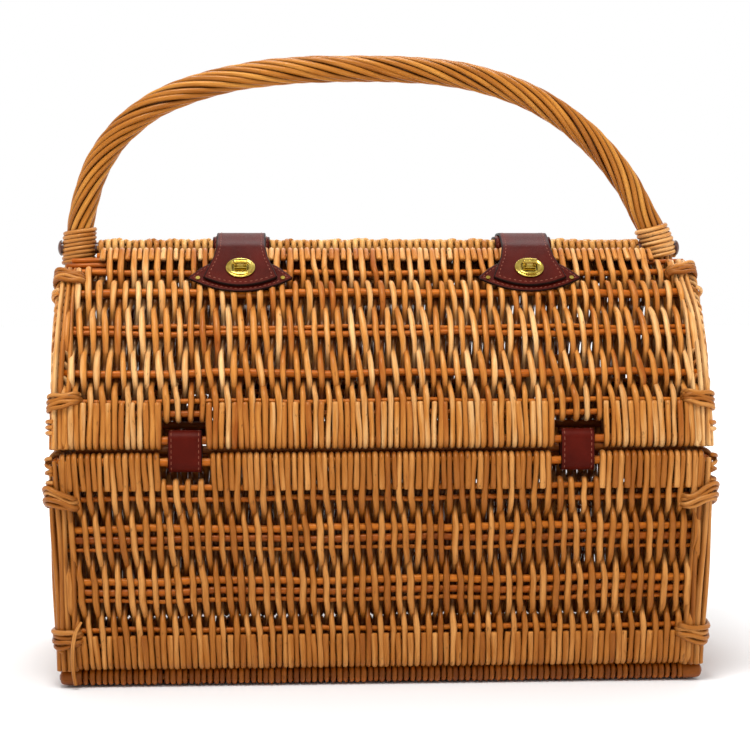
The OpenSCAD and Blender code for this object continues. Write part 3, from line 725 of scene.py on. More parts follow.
# ---------------------------------------------------------------- corner posts of the tub
for nm, sx, sy in (("front_left", -1, -1), ("front_right", 1, -1), ("back_left", -1, 1), ("back_right", 1, 1)):
    b = Bundle()
    z = np.linspace(13.6, 154.0, 40)
    u = (z - z[0]) / (z[-1] - z[0])
    flare = 2.2 * (1 - u) ** 2 if sx < 0 else 0.9 * (1 - u) ** 2
    z2 = np.linspace(13.6, 169.5, 44)
    for k, (dx, dy, rr) in enumerate(((4.6, 3.2, 2.2), (5.0, -1.2, 2.2), (1.0, 4.9, 2.2), (4.6, -5.8, 2.2), (-3.3, 5.0, 2.2), (-7.4, 4.6, 2.1), (0.2, 0.2, 3.6), (4.4, -10.0, 2.0))):
        if k in (2, 4, 5):
            z = z2
            u = (z - z[0]) / (z[-1] - z[0])
            fl = 2.2 * (1 - u) ** 2 if sx < 0 else 0.9 * (1 - u) ** 2
        else:
            z = np.linspace(13.6, 154.0, 40)
            u = (z - z[0]) / (z[-1] - z[0])
            fl = flare
        w = fl * (0.5 if k == 6 else 1.0) + 1.2 * np.sin(z / 31 + 2.2 * k + sx + 2 * sy) * np.sin(PI * u)
        P = np.stack([sx * (hx(z) - 7 + dx + w), sy * (hy(z) - 7 + dy - 0.3 * w), z], axis=-1)
        tubes(b, P[None], rr * (1.04 - 0.16 * u) * rng.uniform(0.94, 1.06), Y_AX, 12, None, 0.0, (sx, sy, 0), None, 0.8)
    # small turns round the corner above the upper tie and below the lower one, with a little painted shade
    for z0 in (151.5, 155.2, 158.6, 162.4, 166.0, 169.8, 26.0):
        t = np.linspace(-1.5, 1.2, 18)
        cx, cy, rad_ = hx(z0) - 6.5, hy(z0) - 7.6, 7.0
        P = np.stack([sx * (cx + rad_ * np.cos(t)), sy * (cy + rad_ * np.sin(t)), z0 + 2.4 * np.sin(t * 0.9 + z0)], axis=-1)
        tubes(b, P[None], 1.65 * rng.uniform(0.9, 1.1), Z_AX, 8, None, 0.1, (sx, sy, 0), None, 0.5)
    b.build(f"corner_rods_{nm}", M_WILLOW_SHADED, "basket", [f"corner_post_{nm}"])


# ---------------------------------------------------------------- ties round the corners
def corner_loop(cx, cy, sx, sy, reach_x, reach_y, proud, count=46):
    """Closed loop in plan round a corner at (cx, cy), reaching back along both walls; returns x, y and how near the corner it is."""
    o = proud
    pts = [
        (-reach_x, o - 3.0), (-reach_x + 2.0, o - 0.4), (-reach_x + 7, o), (-9, o), (-4.4, o - 0.6), (-1.4, o - 2.3), (o - 2.3, -1.4 + 0.0), (o - 0.6, -4.4), (o, -9),
        (o, -reach_y + 7), (o - 0.4, -reach_y + 2.0), (o - 3.0, -reach_y), (-8, -reach_y + 3), (-min(14.5, reach_x - 5), -16.0), (-reach_x + 2, -10), (-reach_x, o - 3.0),
    ]
    p = catmull(np.array(pts, float), 5)
    p, t = resample(p, count=count)
    near = np.exp(-((np.hypot(p[:, 0] + 1, p[:, 1] + 1)) / 13.0) ** 2)
    return cx + sx * p[:, 0], cy + sy * p[:, 1], near


b = Bundle()
for sx in (-1, 1):
    for sy in (-1, 1):
        for zc in (140.0, 38.0):
            for k in range(4):
                f = (k - 1.5) / 1.5
                reach = {(-1, 1): 21.5, (-1, 0): 18.5, (1, 1): 25.0, (1, 0): 22.0}[(sx, int(zc > 90))] - 1.6 * abs(f)
                slope = {(-1, 1): 7.5, (-1, 0): -1.0, (1, 1): 8.0, (1, 0): -4.5}[(sx, int(zc > 90))]
                x, y, near = corner_loop(sx * hx(zc), sy * hy(zc), sx, sy, reach, 22, 2.3 + 0.9 * (k % 2))
                z = zc + f * (3.6 + 2.4 * near) + slope * (near - 0.4) + 0.9 * np.sin(x / 3.4 + 2.1 * k) * (1 - 0.6 * near)
                # the corner leans with the wall
                lean = (z - zc)
                P = np.stack([x + sx * lean * 7.5 / 162, y + sy * lean * 7 / 162, z], axis=-1)
                tubes(b, P[None], 1.85 * rng.uniform(0.9, 1.08), Z_AX, 10, None, 0.0, (sx, sy, 0), None, 0.5)
# a loose tail of the lower left tie, hanging down past the foot
p = catmull(np.array([(-222.5, -111.6, 51.0), (-226.5, -113.6, 44.0), (-228.6, -113.8, 34.0), (-229.2, -112.4, 24.0), (-228.8, -109.6, 12.0), (-227.6, -107.6, 3.6)]), 6)
tubes(b, p[None], np.interp(np.arange(len(p)), [0, 8, len(p) - 1], [0.9, 1.6, 1.5])[None], Y_AX, 8, 0.35, 0.0, (0, -1, 0), None, 0.5)
# a broken end that stands off beside the right corner
p = catmull(np.array([(229.5, -109.6, 134.0), (231.5, -111.8, 124.0), (232.0, -112.8, 112.0), (229.4, -112.4, 100.0)]), 6)
tubes(b, p[None], np.interp(np.arange(len(p)), [0, 12, len(p) - 1], [1.5, 1.4, 0.3])[None], Y_AX, 8, 0.5, 0.0, (0, -1, 0), None, 0.5)
b.build("tub_corner_tie_rods", M_WILLOW_SHADED, "basket", ["tub_corner_ties"])

for side, sy in (("front", -1), ("back", 1)):
    b = Bundle()
    for sx in (-1, 1):
        for a0 in (17.5, 45.0 if sx < 0 else 47.0):
            for k in range(4):
                f = (k - 1.5) / 1.5
                # in the plane across the lid: u along x towards the outside, v outward from the curve
                e = 4.0 + 1.0 * abs(f)
                pts = [(221.0 + e, 5.5), (223 + e, 8.2), (228 + 0.6 * e, 9.2), (239, 9.0), (245.0, 7.2), (247.6, 3.4), (247.6, -2.5), (244.0, -7.5), (238, -9.3), (230, -7.6), (223 + e, -3.0), (220.4 + e, 2.0), (221.0 + e, 5.5)]
                p, t = resample(catmull(np.array(pts, float), 5), count=40)
                near = np.exp(-(np.hypot(p[:, 0] - 247, p[:, 1] - 2) / 13.0) ** 2)
                s = MID * a0 * RAD + f * (3.2 + 2.0 * near) + (3.4 if a0 < 30 else -6.0) * (0.5 - near) + 0.7 * np.sin(p[:, 0] / 3.2 + 2.1 * k)
                a = s / MID
                r = MID + p[:, 1]
                P = np.stack([sx * (p[:, 0] - (3.6 if sx > 0 and a0 > 30 else 2.2)), -sy * (ARC_Y - r * np.cos(a)), ARC_Z + r * np.sin(a)], axis=-1)
                tubes(b, P[None], 1.75 * rng.uniform(0.9, 1.08), (0.0, sy * math.sin(a0 * RAD), math.cos(a0 * RAD)), 10, None, 0.0, (sx * 0.6, sy * math.cos(a0 * RAD), math.sin(a0 * RAD)), None, 0.5)
    b.build(f"{side}_lid_tie_rods", M_WILLOW_SHADED, f"{side}_lid", [f"{side}_lid_ties"])

# ---------------------------------------------------------------- handle
TX = hx(112.0) - 7
bow = np.array(
    [(-TX, 112, 3.2), (-(hx(120.0) - 7), 120, 4.4), (-239.9, 168, 4.4), (-239.9, 176, 6.0), (-239.5, 184, 7.5), (-237, 250, 9.5), (-234, 300, 10.5)]
    + [(x, z, 10.5) for x, z in (
        (-232, 325), (-232, 338), (-229, 354), (-220, 384), (-201, 413), (-170, 437), (-131, 452), (-84, 461), (-37, 464), (18, 464),
        (57, 461), (97, 452), (136, 435), (168, 411), (196, 379), (212, 350), (220, 337), (224, 325))]
    + [(227, 300, 10.5), (233, 250, 9.5), (239.5, 184, 7.5), (239.9, 176, 6.0), (239.9, 168, 4.4), (hx(120.0) - 7, 120, 4.4), (TX, 112, 3.2)],
    float,
)
line, arc = resample(catmull(bow, 10), step=3.6)
kern = np.ones(7) / 7
pad_ = np.pad(line, ((3, 3), (0, 0)), mode="edge")
line = np.stack([np.convolve(pad_[:, k], kern, "valid") for k in range(3)], axis=1)
BX, BZ, BR = line[:, 0], line[:, 1], line[:, 2]
tx, tz = np.gradient(BX), np.gradient(BZ)
tl_ = np.hypot(tx, tz)
tx, tz = tx / tl_, tz / tl_
NX, NZ = -tz, tx  # outward: up over the bow
above = ease((BZ - 325) / 70.0)
near_right = ease((BX - 190) / 25.0) * ease((372 - BZ) / 40.0)
rate = 2 * PI / 178.0 * (1 - 0.62 * near_right) * (0.25 + 0.75 * ease((BZ - 300) / 20.0))
turn = np.concatenate([[0], np.cumsum(0.5 * (rate[1:] + rate[:-1]) * np.diff(arc))])
b = Bundle()
strands = 11
for i in range(strands):
    ph = rng.uniform(0, 2 * PI, 3)
    f = 2 * PI * i / strands - turn + 0.05 * np.sin(arc / 57 + ph[0]) + 0.03 * np.sin(arc / 23 + ph[1])
    rs = 0.222 * BR * (1 + 0.05 * np.sin(arc / 90 + ph[2])) * rng.uniform(0.94, 1.05)
    R0 = BR - 0.225 * BR + 0.16 * np.sin(arc / 41 + ph[1])
    P = np.stack([BX + R0 * np.cos(f) * NX, R0 * np.sin(f), BZ + R0 * np.cos(f) * NZ], axis=-1)
    rad = np.stack([np.cos(f) * NX, np.sin(f), np.cos(f) * NZ], axis=-1)
    # strong painted shade on the flanks of the strands
    tubes(b, P[None], rs[None], rad[None], 12, None, 0.0, rad[None], None, 1.05)
# a dark core, painted shade seen between the strands
core = np.stack([BX, 0 * BX, BZ], axis=-1)
tubes(b, core[None], (0.68 * BR)[None], Y_AX, 14, 0.5, 0.9)
b.build("handle_strands", M_HONEY, "basket", ["handle_bow"])


def bow_at(z, sx):
    k = (np.sign(BX) == sx) & (BZ > 180) & (BZ < 400)
    o = np.argsort(BZ[k])
    return np.interp(z, BZ[k][o], BX[k][o])


for side, sx, z0, z1, tilt in (("left", -1, 312.5, 338.0, 0.10), ("right", 1, 316.5, 340.5, 0.20)):
    b = Bundle()
    turns = 8 if sx < 0 else 7
    t = np.linspace(0, turns, turns * 26)
    zc = z0 + (z1 - z0) * t / turns
    f = 2 * PI * t
    R0 = 11.55 + 0.12 * np.sin(t * 2.3)
    x = bow_at(zc, sx) + R0 * np.cos(f)
    y = R0 * np.sin(f)
    z = zc + tilt * R0 * np.cos(f)
    P = np.stack([x, y, z], axis=-1)
    O = np.stack([np.cos(f), np.sin(f), 0 * f], axis=-1)
    tubes(b, P[None], ((1.68 if sx < 0 else 1.92) + 0.12 * np.sin(t * 5.1))[None], Z_AX, 10, 0.3, 0.0, O[None], None, 0.9)
    # the right binding gets the lit copy and the left the shaded copy: painted light falling from the right
    b.build(f"foot_binding_{side}_wrap", M_WILLOW_LIT if sx > 0 else M_WILLOW_SHADED, "basket", [f"foot_binding_{side}"])

# ---------------------------------------------------------------- spine
b = Bundle()
per = 22
hw, hz_ = 12.7, 4.3
sk = [(-(hw - hz_) + hz_ * math.cos(a), hz_ * math.sin(a)) for a in np.linspace(PI / 2, 3 * PI / 2, 8)]
sk += [((hw - hz_) + hz_ * math.cos(a), hz_ * math.sin(a)) for a in np.linspace(-PI / 2, PI / 2, 8)]
sk.append(sk[0])
loop, _ = resample(np.array(sk), count=per + 1)
loop = loop[:-1]
x0, x1 = -215.6, 205.2
turns = int(round((x1 - x0) / 5.3))
for i in range(turns):
    # each turn is its own short rod, slightly slanted, so the row reads as separate segments
    k = np.arange(per + 1)
    u = k / per
    x = x0 + (x1 - x0) * (i + u * 0.62 + 0.2) / turns + 0.12 * np.sin(i * 1.7)
    yy = loop[k % per, 0] * rng.uniform(0.99, 1.01)
    covered = -131 < x[0] < -81 or 89 < x[0] < 139
    zz = 324.5 + loop[k % per, 1] * (rng.uniform(0.96, 1.1) if covered else rng.uniform(0.92, 1.3))
    P = np.stack([x, yy, zz], axis=-1)
    tubes(b, P[None], 2.3 * rng.uniform(0.92, 1.08), X_AX, 8, None, 0.0, np.stack([0 * x, yy * 0.4, zz - 324.5], axis=-1)[None], None, 0.75)
# rods under the wraps, with painted shade where they show between them
for yy in (-7.5, -2.5, 2.5, 7.5):
    x = np.linspace(-217.4, 206.8, 40)
    tubes(b, np.stack([x, yy + 0 * x, 324.5 + 0 * x], axis=-1)[None], 2.0, Z_AX, 8, None, 0.3)
b.build("spine_wrap", M_SPINE, "basket", ["spine_bar"])


# ---------------------------------------------------------------- leather
def edge_tone(d):
    return np.clip(1.15 - d / 0.75, 0, 1)


def sheet_mesh(b, P, thick, groove=2.7, hole=None, flip=False):
    """A leather piece with a rounded, painted edge and a creased line along it. P is the (nu, nv, 3) middle surface. Returns a path for the stitches."""
    nu, nv = P.shape[:2]
    du, dv = np.gradient(P, axis=0), np.gradient(P, axis=1)
    N = norm(np.cross(du, dv))
    gi = np.arange(nu * nv).reshape(nu, nv)
    per_ = np.concatenate([gi[:-1, 0], gi[-1, :-1], gi[:0:-1, -1], gi[0, :0:-1]])
    F = P.reshape(-1, 3)
    NF = N.reshape(-1, 3)
    B = F[per_]
    D = np.full(len(F), 1e9)
    for c in range(0, len(F), 2000):
        q = F[c:c + 2000, None, :] - B[None]
        D[c:c + 2000] = np.sqrt((q * q).sum(-1)).min(1)
    h = thick / 2
    dip = 0.24 * np.exp(-((D - groove) / 0.55) ** 2) + 0.22 * np.clip(1 - D / 1.1, 0, 1) ** 2
    top = F + NF * (h - dip)[:, None]
    bot = F - NF * h
    tan = norm(np.roll(B, -1, axis=0) - np.roll(B, 1, axis=0))
    NB = NF[per_]
    O = norm(np.cross(tan, NB))
    rings = [B + NB * h * c + O * thick * o for c, o in ((0.62, 0.16), (0.25, 0.26), (-0.2, 0.27), (-0.66, 0.17))]
    m = nu * nv
    a, c2, c3, c4 = gi[:-1, :-1], gi[1:, :-1], gi[1:, 1:], gi[:-1, 1:]
    quads = np.stack([a, c2, c3, c4], axis=-1)
    keep = np.ones(quads.shape[:2], bool)
    walls = []
    if hole is not None:
        cen = (P[:-1, :-1] + P[1:, :-1] + P[1:, 1:] + P[:-1, 1:]) / 4
        keep = ~hole(cen)
        for i, j in np.argwhere(~keep):
            for di, dj, e in ((0, -1, (gi[i, j], gi[i + 1, j])), (1, 0, (gi[i + 1, j], gi[i + 1, j + 1])), (0, 1, (gi[i + 1, j + 1], gi[i, j + 1])), (-1, 0, (gi[i, j + 1], gi[i, j]))):
                ii, jj = i + di, j + dj
                if 0 <= ii < keep.shape[0] and 0 <= jj < keep.shape[1] and keep[ii, jj]:
                    walls.append([e[0], e[1], e[1] + m, e[0] + m])
    qt = quads[keep]
    faces = [qt, qt[:, ::-1] + m]
    if walls:
        faces.append(np.array(walls))
    np_ = len(per_)
    rows = [per_] + [2 * m + k * np_ + np.arange(np_) for k in range(4)] + [per_ + m]
    for u, v in zip(rows[:-1], rows[1:]):
        faces.append(np.stack([u, v, np.roll(v, -1), np.roll(u, -1)], axis=-1))
    co = np.concatenate([top, bot] + rings)
    deep = np.concatenate([edge_tone(D), edge_tone(D), np.ones(4 * np_)])
    used = np.zeros(len(co), bool)
    for f in faces:
        used[f.ravel()] = True
    remap = np.cumsum(used) - 1
    faces = [remap[f] for f in faces]
    if flip:
        faces = [f[:, ::-1] for f in faces]
    b.add(co[used], faces, 0.5, deep[used])
    inset = B - O * groove
    q = inset[:, None, :] - B[None]
    ok = np.sqrt((q * q).sum(-1)).min(1) > groove * 0.93
    return inset, NB, ok, h


def stitches(b, path, nrm, lift, length=2.7, gap=1.3, r=0.36, closed=False):
    """Short thread stitches that come out of the leather and go back in."""
    if len(path) < 4:
        return
    full = np.concatenate([path, nrm], axis=1)
    if closed:
        full = np.concatenate([full, full[:1]])
    d = np.concatenate([[0], np.cumsum(np.linalg.norm(np.diff(full[:, :3], axis=0), axis=1))])
    n = int(d[-1] / (length + gap))
    if n < 1:
        return
    step = d[-1] / n
    u = np.linspace(0, 1, 7)
    t = (np.arange(n)[:, None] + 0.12) * step + u[None] * (step - gap)
    g = np.stack([np.interp(t, d, full[:, k]) for k in range(6)], axis=-1)
    nn = norm(g[..., 3:])
    hgt = lift - 0.42 + 0.5 * np.sin(PI * u)
    P = g[..., :3] + nn * hgt[None, :, None]
    side = norm(np.cross(norm(np.gradient(P, axis=1)), nn))
    tubes(b, P, r * (0.75 + 0.25 * np.sin(PI * u))[None], side, 6, None, 0.0)


def band_mesh(b, path, width, thick, xc, groove=2.5, n_in=24):
    """A closed leather band, width across x, along a closed path of (y, z) points. Returns the outward direction at
    each path point, for the stitches.
    """
    K = len(path)
    t = norm(np.roll(path, -1, axis=0) - np.roll(path, 1, axis=0))
    out = np.stack([t[:, 1], -t[:, 0]], axis=1)  # the path runs so that this points outward
    w = width / 2
    xs = np.linspace(-w + 0.75, w - 0.75, n_in)
    h = thick / 2
    d = w - np.abs(xs)
    outer = [(x, h - 0.24 * math.exp(-((dd - groove) / 0.5) ** 2) - 0.15 * max(0, 1 - dd / 1.2), dd) for x, dd in zip(xs, d)]
    right = [(w - 0.22, 0.52 * h, 0), (w, 0.0, 0), (w - 0.22, -0.6 * h, 0)]
    inner = [(x, -h, 2.0) for x in np.linspace(w - 0.8, -w + 0.8, 6)]
    left = [(-w + 0.22, -0.6 * h, 0), (-w, 0.0, 0), (-w + 0.22, 0.52 * h, 0)]
    sec = np.array(outer + right + inner + left)
    M = len(sec)
    X = xc + np.broadcast_to(sec[:, 0], (K, M))
    Y = path[:, None, 0] + out[:, None, 0] * sec[None, :, 1]
    Z = path[:, None, 1] + out[:, None, 1] * sec[None, :, 1]
    i = np.arange(K * M).reshape(K, M)
    j = np.roll(i, -1, axis=0)
    i2, j2 = np.roll(i, -1, axis=1), np.roll(j, -1, axis=1)
    quads = np.stack([i, j, j2, i2], axis=-1).reshape(-1, 4)
    b.add(np.stack([X, Y, Z], axis=-1).reshape(-1, 3), [quads], 0.5, np.tile(edge_tone(sec[:, 2]), K))
    return out


def orient(ob):
    """Makes every face of a closed mesh look outward."""
    import bmesh

    bm = bmesh.new()
    bm.from_mesh(ob.data)
    bmesh.ops.recalc_face_normals(bm, faces=bm.faces)
    bm.to_mesh(ob.data)
    bm.free()
    ob.data.update()


def racetrack(cy, cz, hy_, hz_, n=16):
    """Closed path round two rods one above the other."""
    pts = []
    for a in np.linspace(0, PI, n):
        pts.append((cy + hy_ * math.cos(a), cz + (hz_ - hy_) + hy_ * math.sin(a)))
    for a in np.linspace(PI, 2 * PI, n):
        pts.append((cy + hy_ * math.cos(a), cz - (hz_ - hy_) + hy_ * math.sin(a)))
    pts.append(pts[0])
    p, _ = resample(np.array(pts), step=1.1)
    return p[:-1]


for side, sy in (("front", -1), ("back", 1)):
    for end, xc in (("left", -146.0), ("right", 143.0)):
        path = racetrack(sy * 107.2, 176.15, 6.0, 14.3)
        b = Bundle()
        out = band_mesh(b, path, 25.0, 2.4, xc)
        ob = b.build(f"hinge_loop_{side}_{end}_leather", M_LEATHER, None, [f"hinge_loop_{side}_{end}"])
        orient(ob)
        b = Bundle()
        if out[0] @ (path[0] - path.mean(0)) < 0:
            out = -out
        for sg in (-1, 1):
            p3 = np.stack([np.full(len(path), xc + sg * 10.0), path[:, 0], path[:, 1]], axis=1)
            n3 = np.stack([np.zeros(len(path)), out[:, 0], out[:, 1]], axis=1)
            stitches(b, p3, n3, 1.1, closed=True)
        st = b.build(f"hinge_loop_{side}_{end}_stitches", M_THREAD)
        for o in (ob, st):
            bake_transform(o)

# the strap's side view, from the middle of the spine to its tip, as (y, z)
a_tip = 41.8
FLAP_R = 224.6
sp = [(0.3, 335.0), (-8.0, 335.0), (-12.4, 334.55), (-17.0, 332.9), (-24.0, 329.5), (-31.3, 326.0)]
sp += [(ARC_Y - FLAP_R * math.cos(a * RAD), ARC_Z + FLAP_R * math.sin(a * RAD)) for a in np.arange(51.6, 40.9, -1.0)]
sp, spd = resample(catmull(np.array(sp), 6), step=0.8)
ang = np.degrees(np.arctan2(sp[:, 1] - ARC_Z, ARC_Y - sp[:, 0]))
l_lock = float(np.interp(-46.0, -ang[20:], spd[20:]))


def strap_width(v):
    return np.interp(v, [-30, -9, 14, 26, 400], [32.5, 27.5, 20.0, 18.2, 18.2])


def at_lock(x, u, v, h, sy):
    """A point in the lock's own frame: u across, v up the slope, h out from the lid's centre line."""
    a = 46.0 * RAD
    y = ARC_Y - h * math.cos(a) + v * math.sin(a)
    z = ARC_Z + h * math.sin(a) + v * math.cos(a)
    return np.stack([x + u, -sy * y, z + 0 * u], axis=-1) if isinstance(u, np.ndarray) else (x + u, -sy * y, z)


for side, sy in (("front", -1), ("back", 1)):
    for end, xc in (("left", -106.0), ("right", 114.0)):
        body = f"{side}_strap_{end}"
        nu, nv = 61, 90
        u = np.linspace(-1, 1, nu)[:, None]
        q = np.linspace(0, 1, nv)[None]
        v_root = l_lock - 0.0
        v_tip = -16.5 + 6.0 * (np.abs(27.5 * u) / 24.0) ** 2
        v = v_root + (v_tip - v_root) * q
        vs = v_root + (-8.7 - v_root) * q
        X = xc + u * strap_width(vs)
        ell = l_lock - v
        Y = np.interp(ell, spd, sp[:, 0])
        Z = np.interp(ell, spd, sp[:, 1])
        P = np.stack([X, Y, Z + 0.0 * X], axis=-1)
        if sy > 0:
            P = P * np.array([1, -1, 1])

        def hole(c, xc=xc, sy=sy):
            a = 46.0 * RAD
            yy = -sy * -1 * c[..., 1] if False else (c[..., 1] if sy < 0 else -c[..., 1])
            vv = (yy - ARC_Y) * math.sin(a) + (c[..., 2] - ARC_Z) * math.cos(a)
            return ((c[..., 0] - xc) / 8.2) ** 2 + (vv / 6.0) ** 2 < 1

        b = Bundle()
        inset, nb, ok, h = sheet_mesh(b, P, 2.4, hole=hole)
        ob = b.build(f"{body}_leather", M_LEATHER, None, [body])
        orient(ob)
        if sy < 0:
            test = nb[len(nb) // 3]
        sign = 1.0 if nb[:, 2].mean() > 0 else -1.0
        b = Bundle()
        away = np.abs(inset[:, 1]) > 3.0
        sel = ok & away
        # the run of kept points, started after the root so that it is one line
        start = int(np.argmin(np.abs(inset[:, 1]) + (inset[:, 0] < xc) * 1000)) if True else 0
        order = np.roll(np.arange(len(inset)), -start)
        keep_ = [i for i in order if sel[i]]
        stitches(b, inset[keep_], nb[keep_] * sign, 1.1)
        st = b.build(f"{body}_stitches", M_THREAD)
        for o in (ob, st):
            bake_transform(o)

# sleeves round the spine
for end, xc in (("left", -106.0), ("right", 114.0)):
    hw2, hz2 = 16.35, 7.85
    pts = []
    for a in np.linspace(-PI / 2, PI / 2, 14):
        pts.append(((hw2 - hz2) + hz2 * math.cos(a), 324.5 + hz2 * math.sin(a)))
    for a in np.linspace(PI / 2, 3 * PI / 2, 14):
        pts.append((-(hw2 - hz2) + hz2 * math.cos(a), 324.5 + hz2 * math.sin(a)))
    pts.append(pts[0])
    path, _ = resample(np.array(pts), step=1.1)
    path = path[:-1]
    b = Bundle()
    out = band_mesh(b, path, 44.0, 1.9, xc)
    ob = b.build(f"strap_sleeve_{end}_leather", M_LEATHER, "basket", [f"strap_sleeve_{end}"])
    orient(ob)
    b = Bundle()
    if out[0] @ (path[0] - path.mean(0)) < 0:
        out = -out
    for sg in (-1, 1):
        p3 = np.stack([np.full(len(path), xc + sg * 19.6), path[:, 0], path[:, 1]], axis=1)
        n3 = np.stack([np.zeros(len(path)), out[:, 0], out[:, 1]], axis=1)
        stitches(b, p3, n3, 0.95, closed=True)
    b.build(f"strap_sleeve_{end}_stitches", M_THREAD, "basket")

# crescent pads under the locks
for side, sy in (("front", -1), ("back", 1)):
    for end, xc in (("left", -106.0), ("right", 114.0)):
        nu, nv = 97, 34
        u = np.linspace(-1, 1, nu)
        x = 38.6 * np.sin(u * PI / 2 * 0.94) / math.sin(PI / 2 * 0.94)
        hi_ = np.interp(np.abs(x), [0, 24, 30, 38.6], [8, 8, 3, -6.2])
        lo_ = np.where(np.abs(x) < 36, -20 + 11 * (np.abs(x) / 36) ** 2, np.interp(np.abs(x), [36, 38.6], [-9, -7.6]))
        # soften the outline
        kk = np.ones(5) / 5
        hi_ = np.convolve(np.pad(hi_, 2, mode="edge"), kk, "valid")
        q = np.linspace(0, 1, nv)[None]
        v = lo_[:, None] + (hi_ - lo_)[:, None] * q
        X = np.broadcast_to(xc + x[:, None], v.shape)
        rr = 222.1
        a = 46.0 * RAD + v / rr
        # the pad follows the lid's curve
        P = np.stack([X, -sy * (ARC_Y - rr * np.cos(a)), ARC_Z + rr * np.sin(a)], axis=-1)
        b = Bundle()
        inset, nb, ok, h = sheet_mesh(b, P, 2.0, groove=2.2)
        ob = b.build(f"{side}_pad_{end}_leather", M_LEATHER, f"{side}_lid", [f"{side}_pad_{end}"])
        orient(ob)
        sign = 1.0 if nb[:, 2].mean() > 0 else -1.0
        b = Bundle()
        stitches(b, inset[ok], nb[ok] * sign, 0.9, length=2.4, gap=1.2, r=0.3, closed=True)
        b.build(f"{side}_pad_{end}_stitches", M_THREAD, f"{side}_lid")


# ---------------------------------------------------------------- brass
def loft(b, rings):
    """Surface through rings of equal length, closed round each ring; the first and last rings are not capped."""
    rings = np.array(rings)
    K, M = rings.shape[:2]
    i = np.arange(K * M).reshape(K, M)
    j = np.roll(i, -1, axis=1)
    quads = np.stack([i[:-1], j[:-1], j[1:], i[1:]], axis=-1).reshape(-1, 4)
    faces = [quads]
    return rings.reshape(-1, 3), faces, i


def rounded_block(b, place, cx, cy, cz, sx, sy, sz, r, seg=4):
    """A block with rounded edges and corners, in the lock's frame."""
    m = 24
    ang_ = np.linspace(0, 2 * PI, m, endpoint=False) + PI / m
    rings = []
    for t in np.linspace(-PI / 2, PI / 2, 2 * seg):
        k = math.cos(t)
        z = cz + (sz / 2 - r) * np.sign(t) + r * math.sin(t)
        px = cx + np.sign(np.cos(ang_)) * (sx / 2 - r) + r * k * np.cos(ang_)
        py = cy + np.sign(np.sin(ang_)) * (sy / 2 - r) + r * k * np.sin(ang_)
        rings.append(place(px, py, np.full(m, z)))
    co, faces, i = loft(b, rings)
    faces = faces + [i[0][::-1][None], i[-1][None]]
    b.add(co, faces, 0.5, 0.0)


for side, sy in (("front", -1), ("back", 1)):
    for end, xc in (("left", -106.0), ("right", 114.0)):

        def place(u, v, h, xc=xc, sy=sy):
            a = 46.0 * RAD
            return np.stack([xc + u, -sy * (ARC_Y - h * math.cos(a) - v * math.sin(a) * -1), ARC_Z + h * math.sin(a) + v * math.cos(a)], axis=-1)

        # oval plate: rolled rim, shallow dish, raised lip round the slot
        m = 72
        t = np.linspace(0, 2 * PI, m, endpoint=False)
        ex, ey = np.cos(t), np.sin(t)
        sx_, sy_ = 6.0, 4.75
        sq = 1.0 / (np.abs(ex / sx_) ** 5 + np.abs(ey / sy_) ** 5) ** (1 / 5)
        slot_x, slot_y = ex * sq, ey * sq
        rings = []
        for k, hgt in ((0.93, 226.05), (0.985, 226.15), (1.0, 226.6), (0.985, 227.15), (0.94, 227.5), (0.88, 227.35), (0.82, 226.95), (0.74, 226.85)):
            rings.append(place(11.25 * k * ex, 10.25 * k * ey, np.full(m, hgt)))
        for w, hgt in ((0.55, 226.9), (0.32, 227.1), (0.2, 227.45), (0.08, 227.5), (0.0, 227.3), (0.0, 226.1)):
            rx = slot_x + (11.25 * 0.74 * ex - slot_x) * w
            ry = slot_y + (10.25 * 0.74 * ey - slot_y) * w
            rings.append(place(rx, ry, np.full(m, hgt)))
        rings.append(rings[0])
        b = Bundle()
        co, faces, i = loft(b, rings)
        b.add(co, faces, 0.5, 0.0)
        ob = b.build(f"{side}_eyelet_{end}_plate", M_BRASS, f"{side}_strap_{end}", [f"{side}_eyelet_{end}"])
        # close the seam between the first and last ring
        import bmesh

        bm = bmesh.new()
        bm.from_mesh(ob.data)
        bmesh.ops.remove_doubles(bm, verts=bm.verts, dist=1e-7)
        bmesh.ops.recalc_face_normals(bm, faces=bm.faces)
        bm.to_mesh(ob.data)
        bm.free()

        b = Bundle()
        rounded_block(b, place, 0, 0, 225.9, 2.9, 2.9, 4.6, 0.5)
        rounded_block(b, place, 0, 0, 228.0, 9.4, 3.8, 1.7, 0.6)
        rounded_block(b, place, -3.55, 0, 230.3, 2.3, 3.6, 4.6, 0.75)
        rounded_block(b, place, 3.55, 0, 230.3, 2.3, 3.6, 4.6, 0.75)
        rounded_block(b, place, 0, 0, 233.3, 11.0, 4.0, 3.0, 1.1)
        ob = b.build(f"{side}_knob_{end}_brass", M_BRASS, f"{side}_knob_{end}", [f"{side}_knob_{end}"])
        orient(ob)


def dress(name, material, width=0.0003, segments=2):
    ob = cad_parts[name]
    ob.data.materials.clear()
    ob.data.materials.append(material)
    bev = ob.modifiers.new("edge", "BEVEL")
    bev.width = width
    bev.segments = segments
    bev.limit_method = "ANGLE"
    bev.angle_limit = math.radians(40)
    return ob


for side in ("front", "back"):
    dress(f"{side}_pad_rivets", M_BRASS, 0.0004, 3)
    dress(f"{side}_lock_bases", M_BRASS, 0.0005, 3)
dress("spine_dowel", M_STAIN, 0.0006, 3)

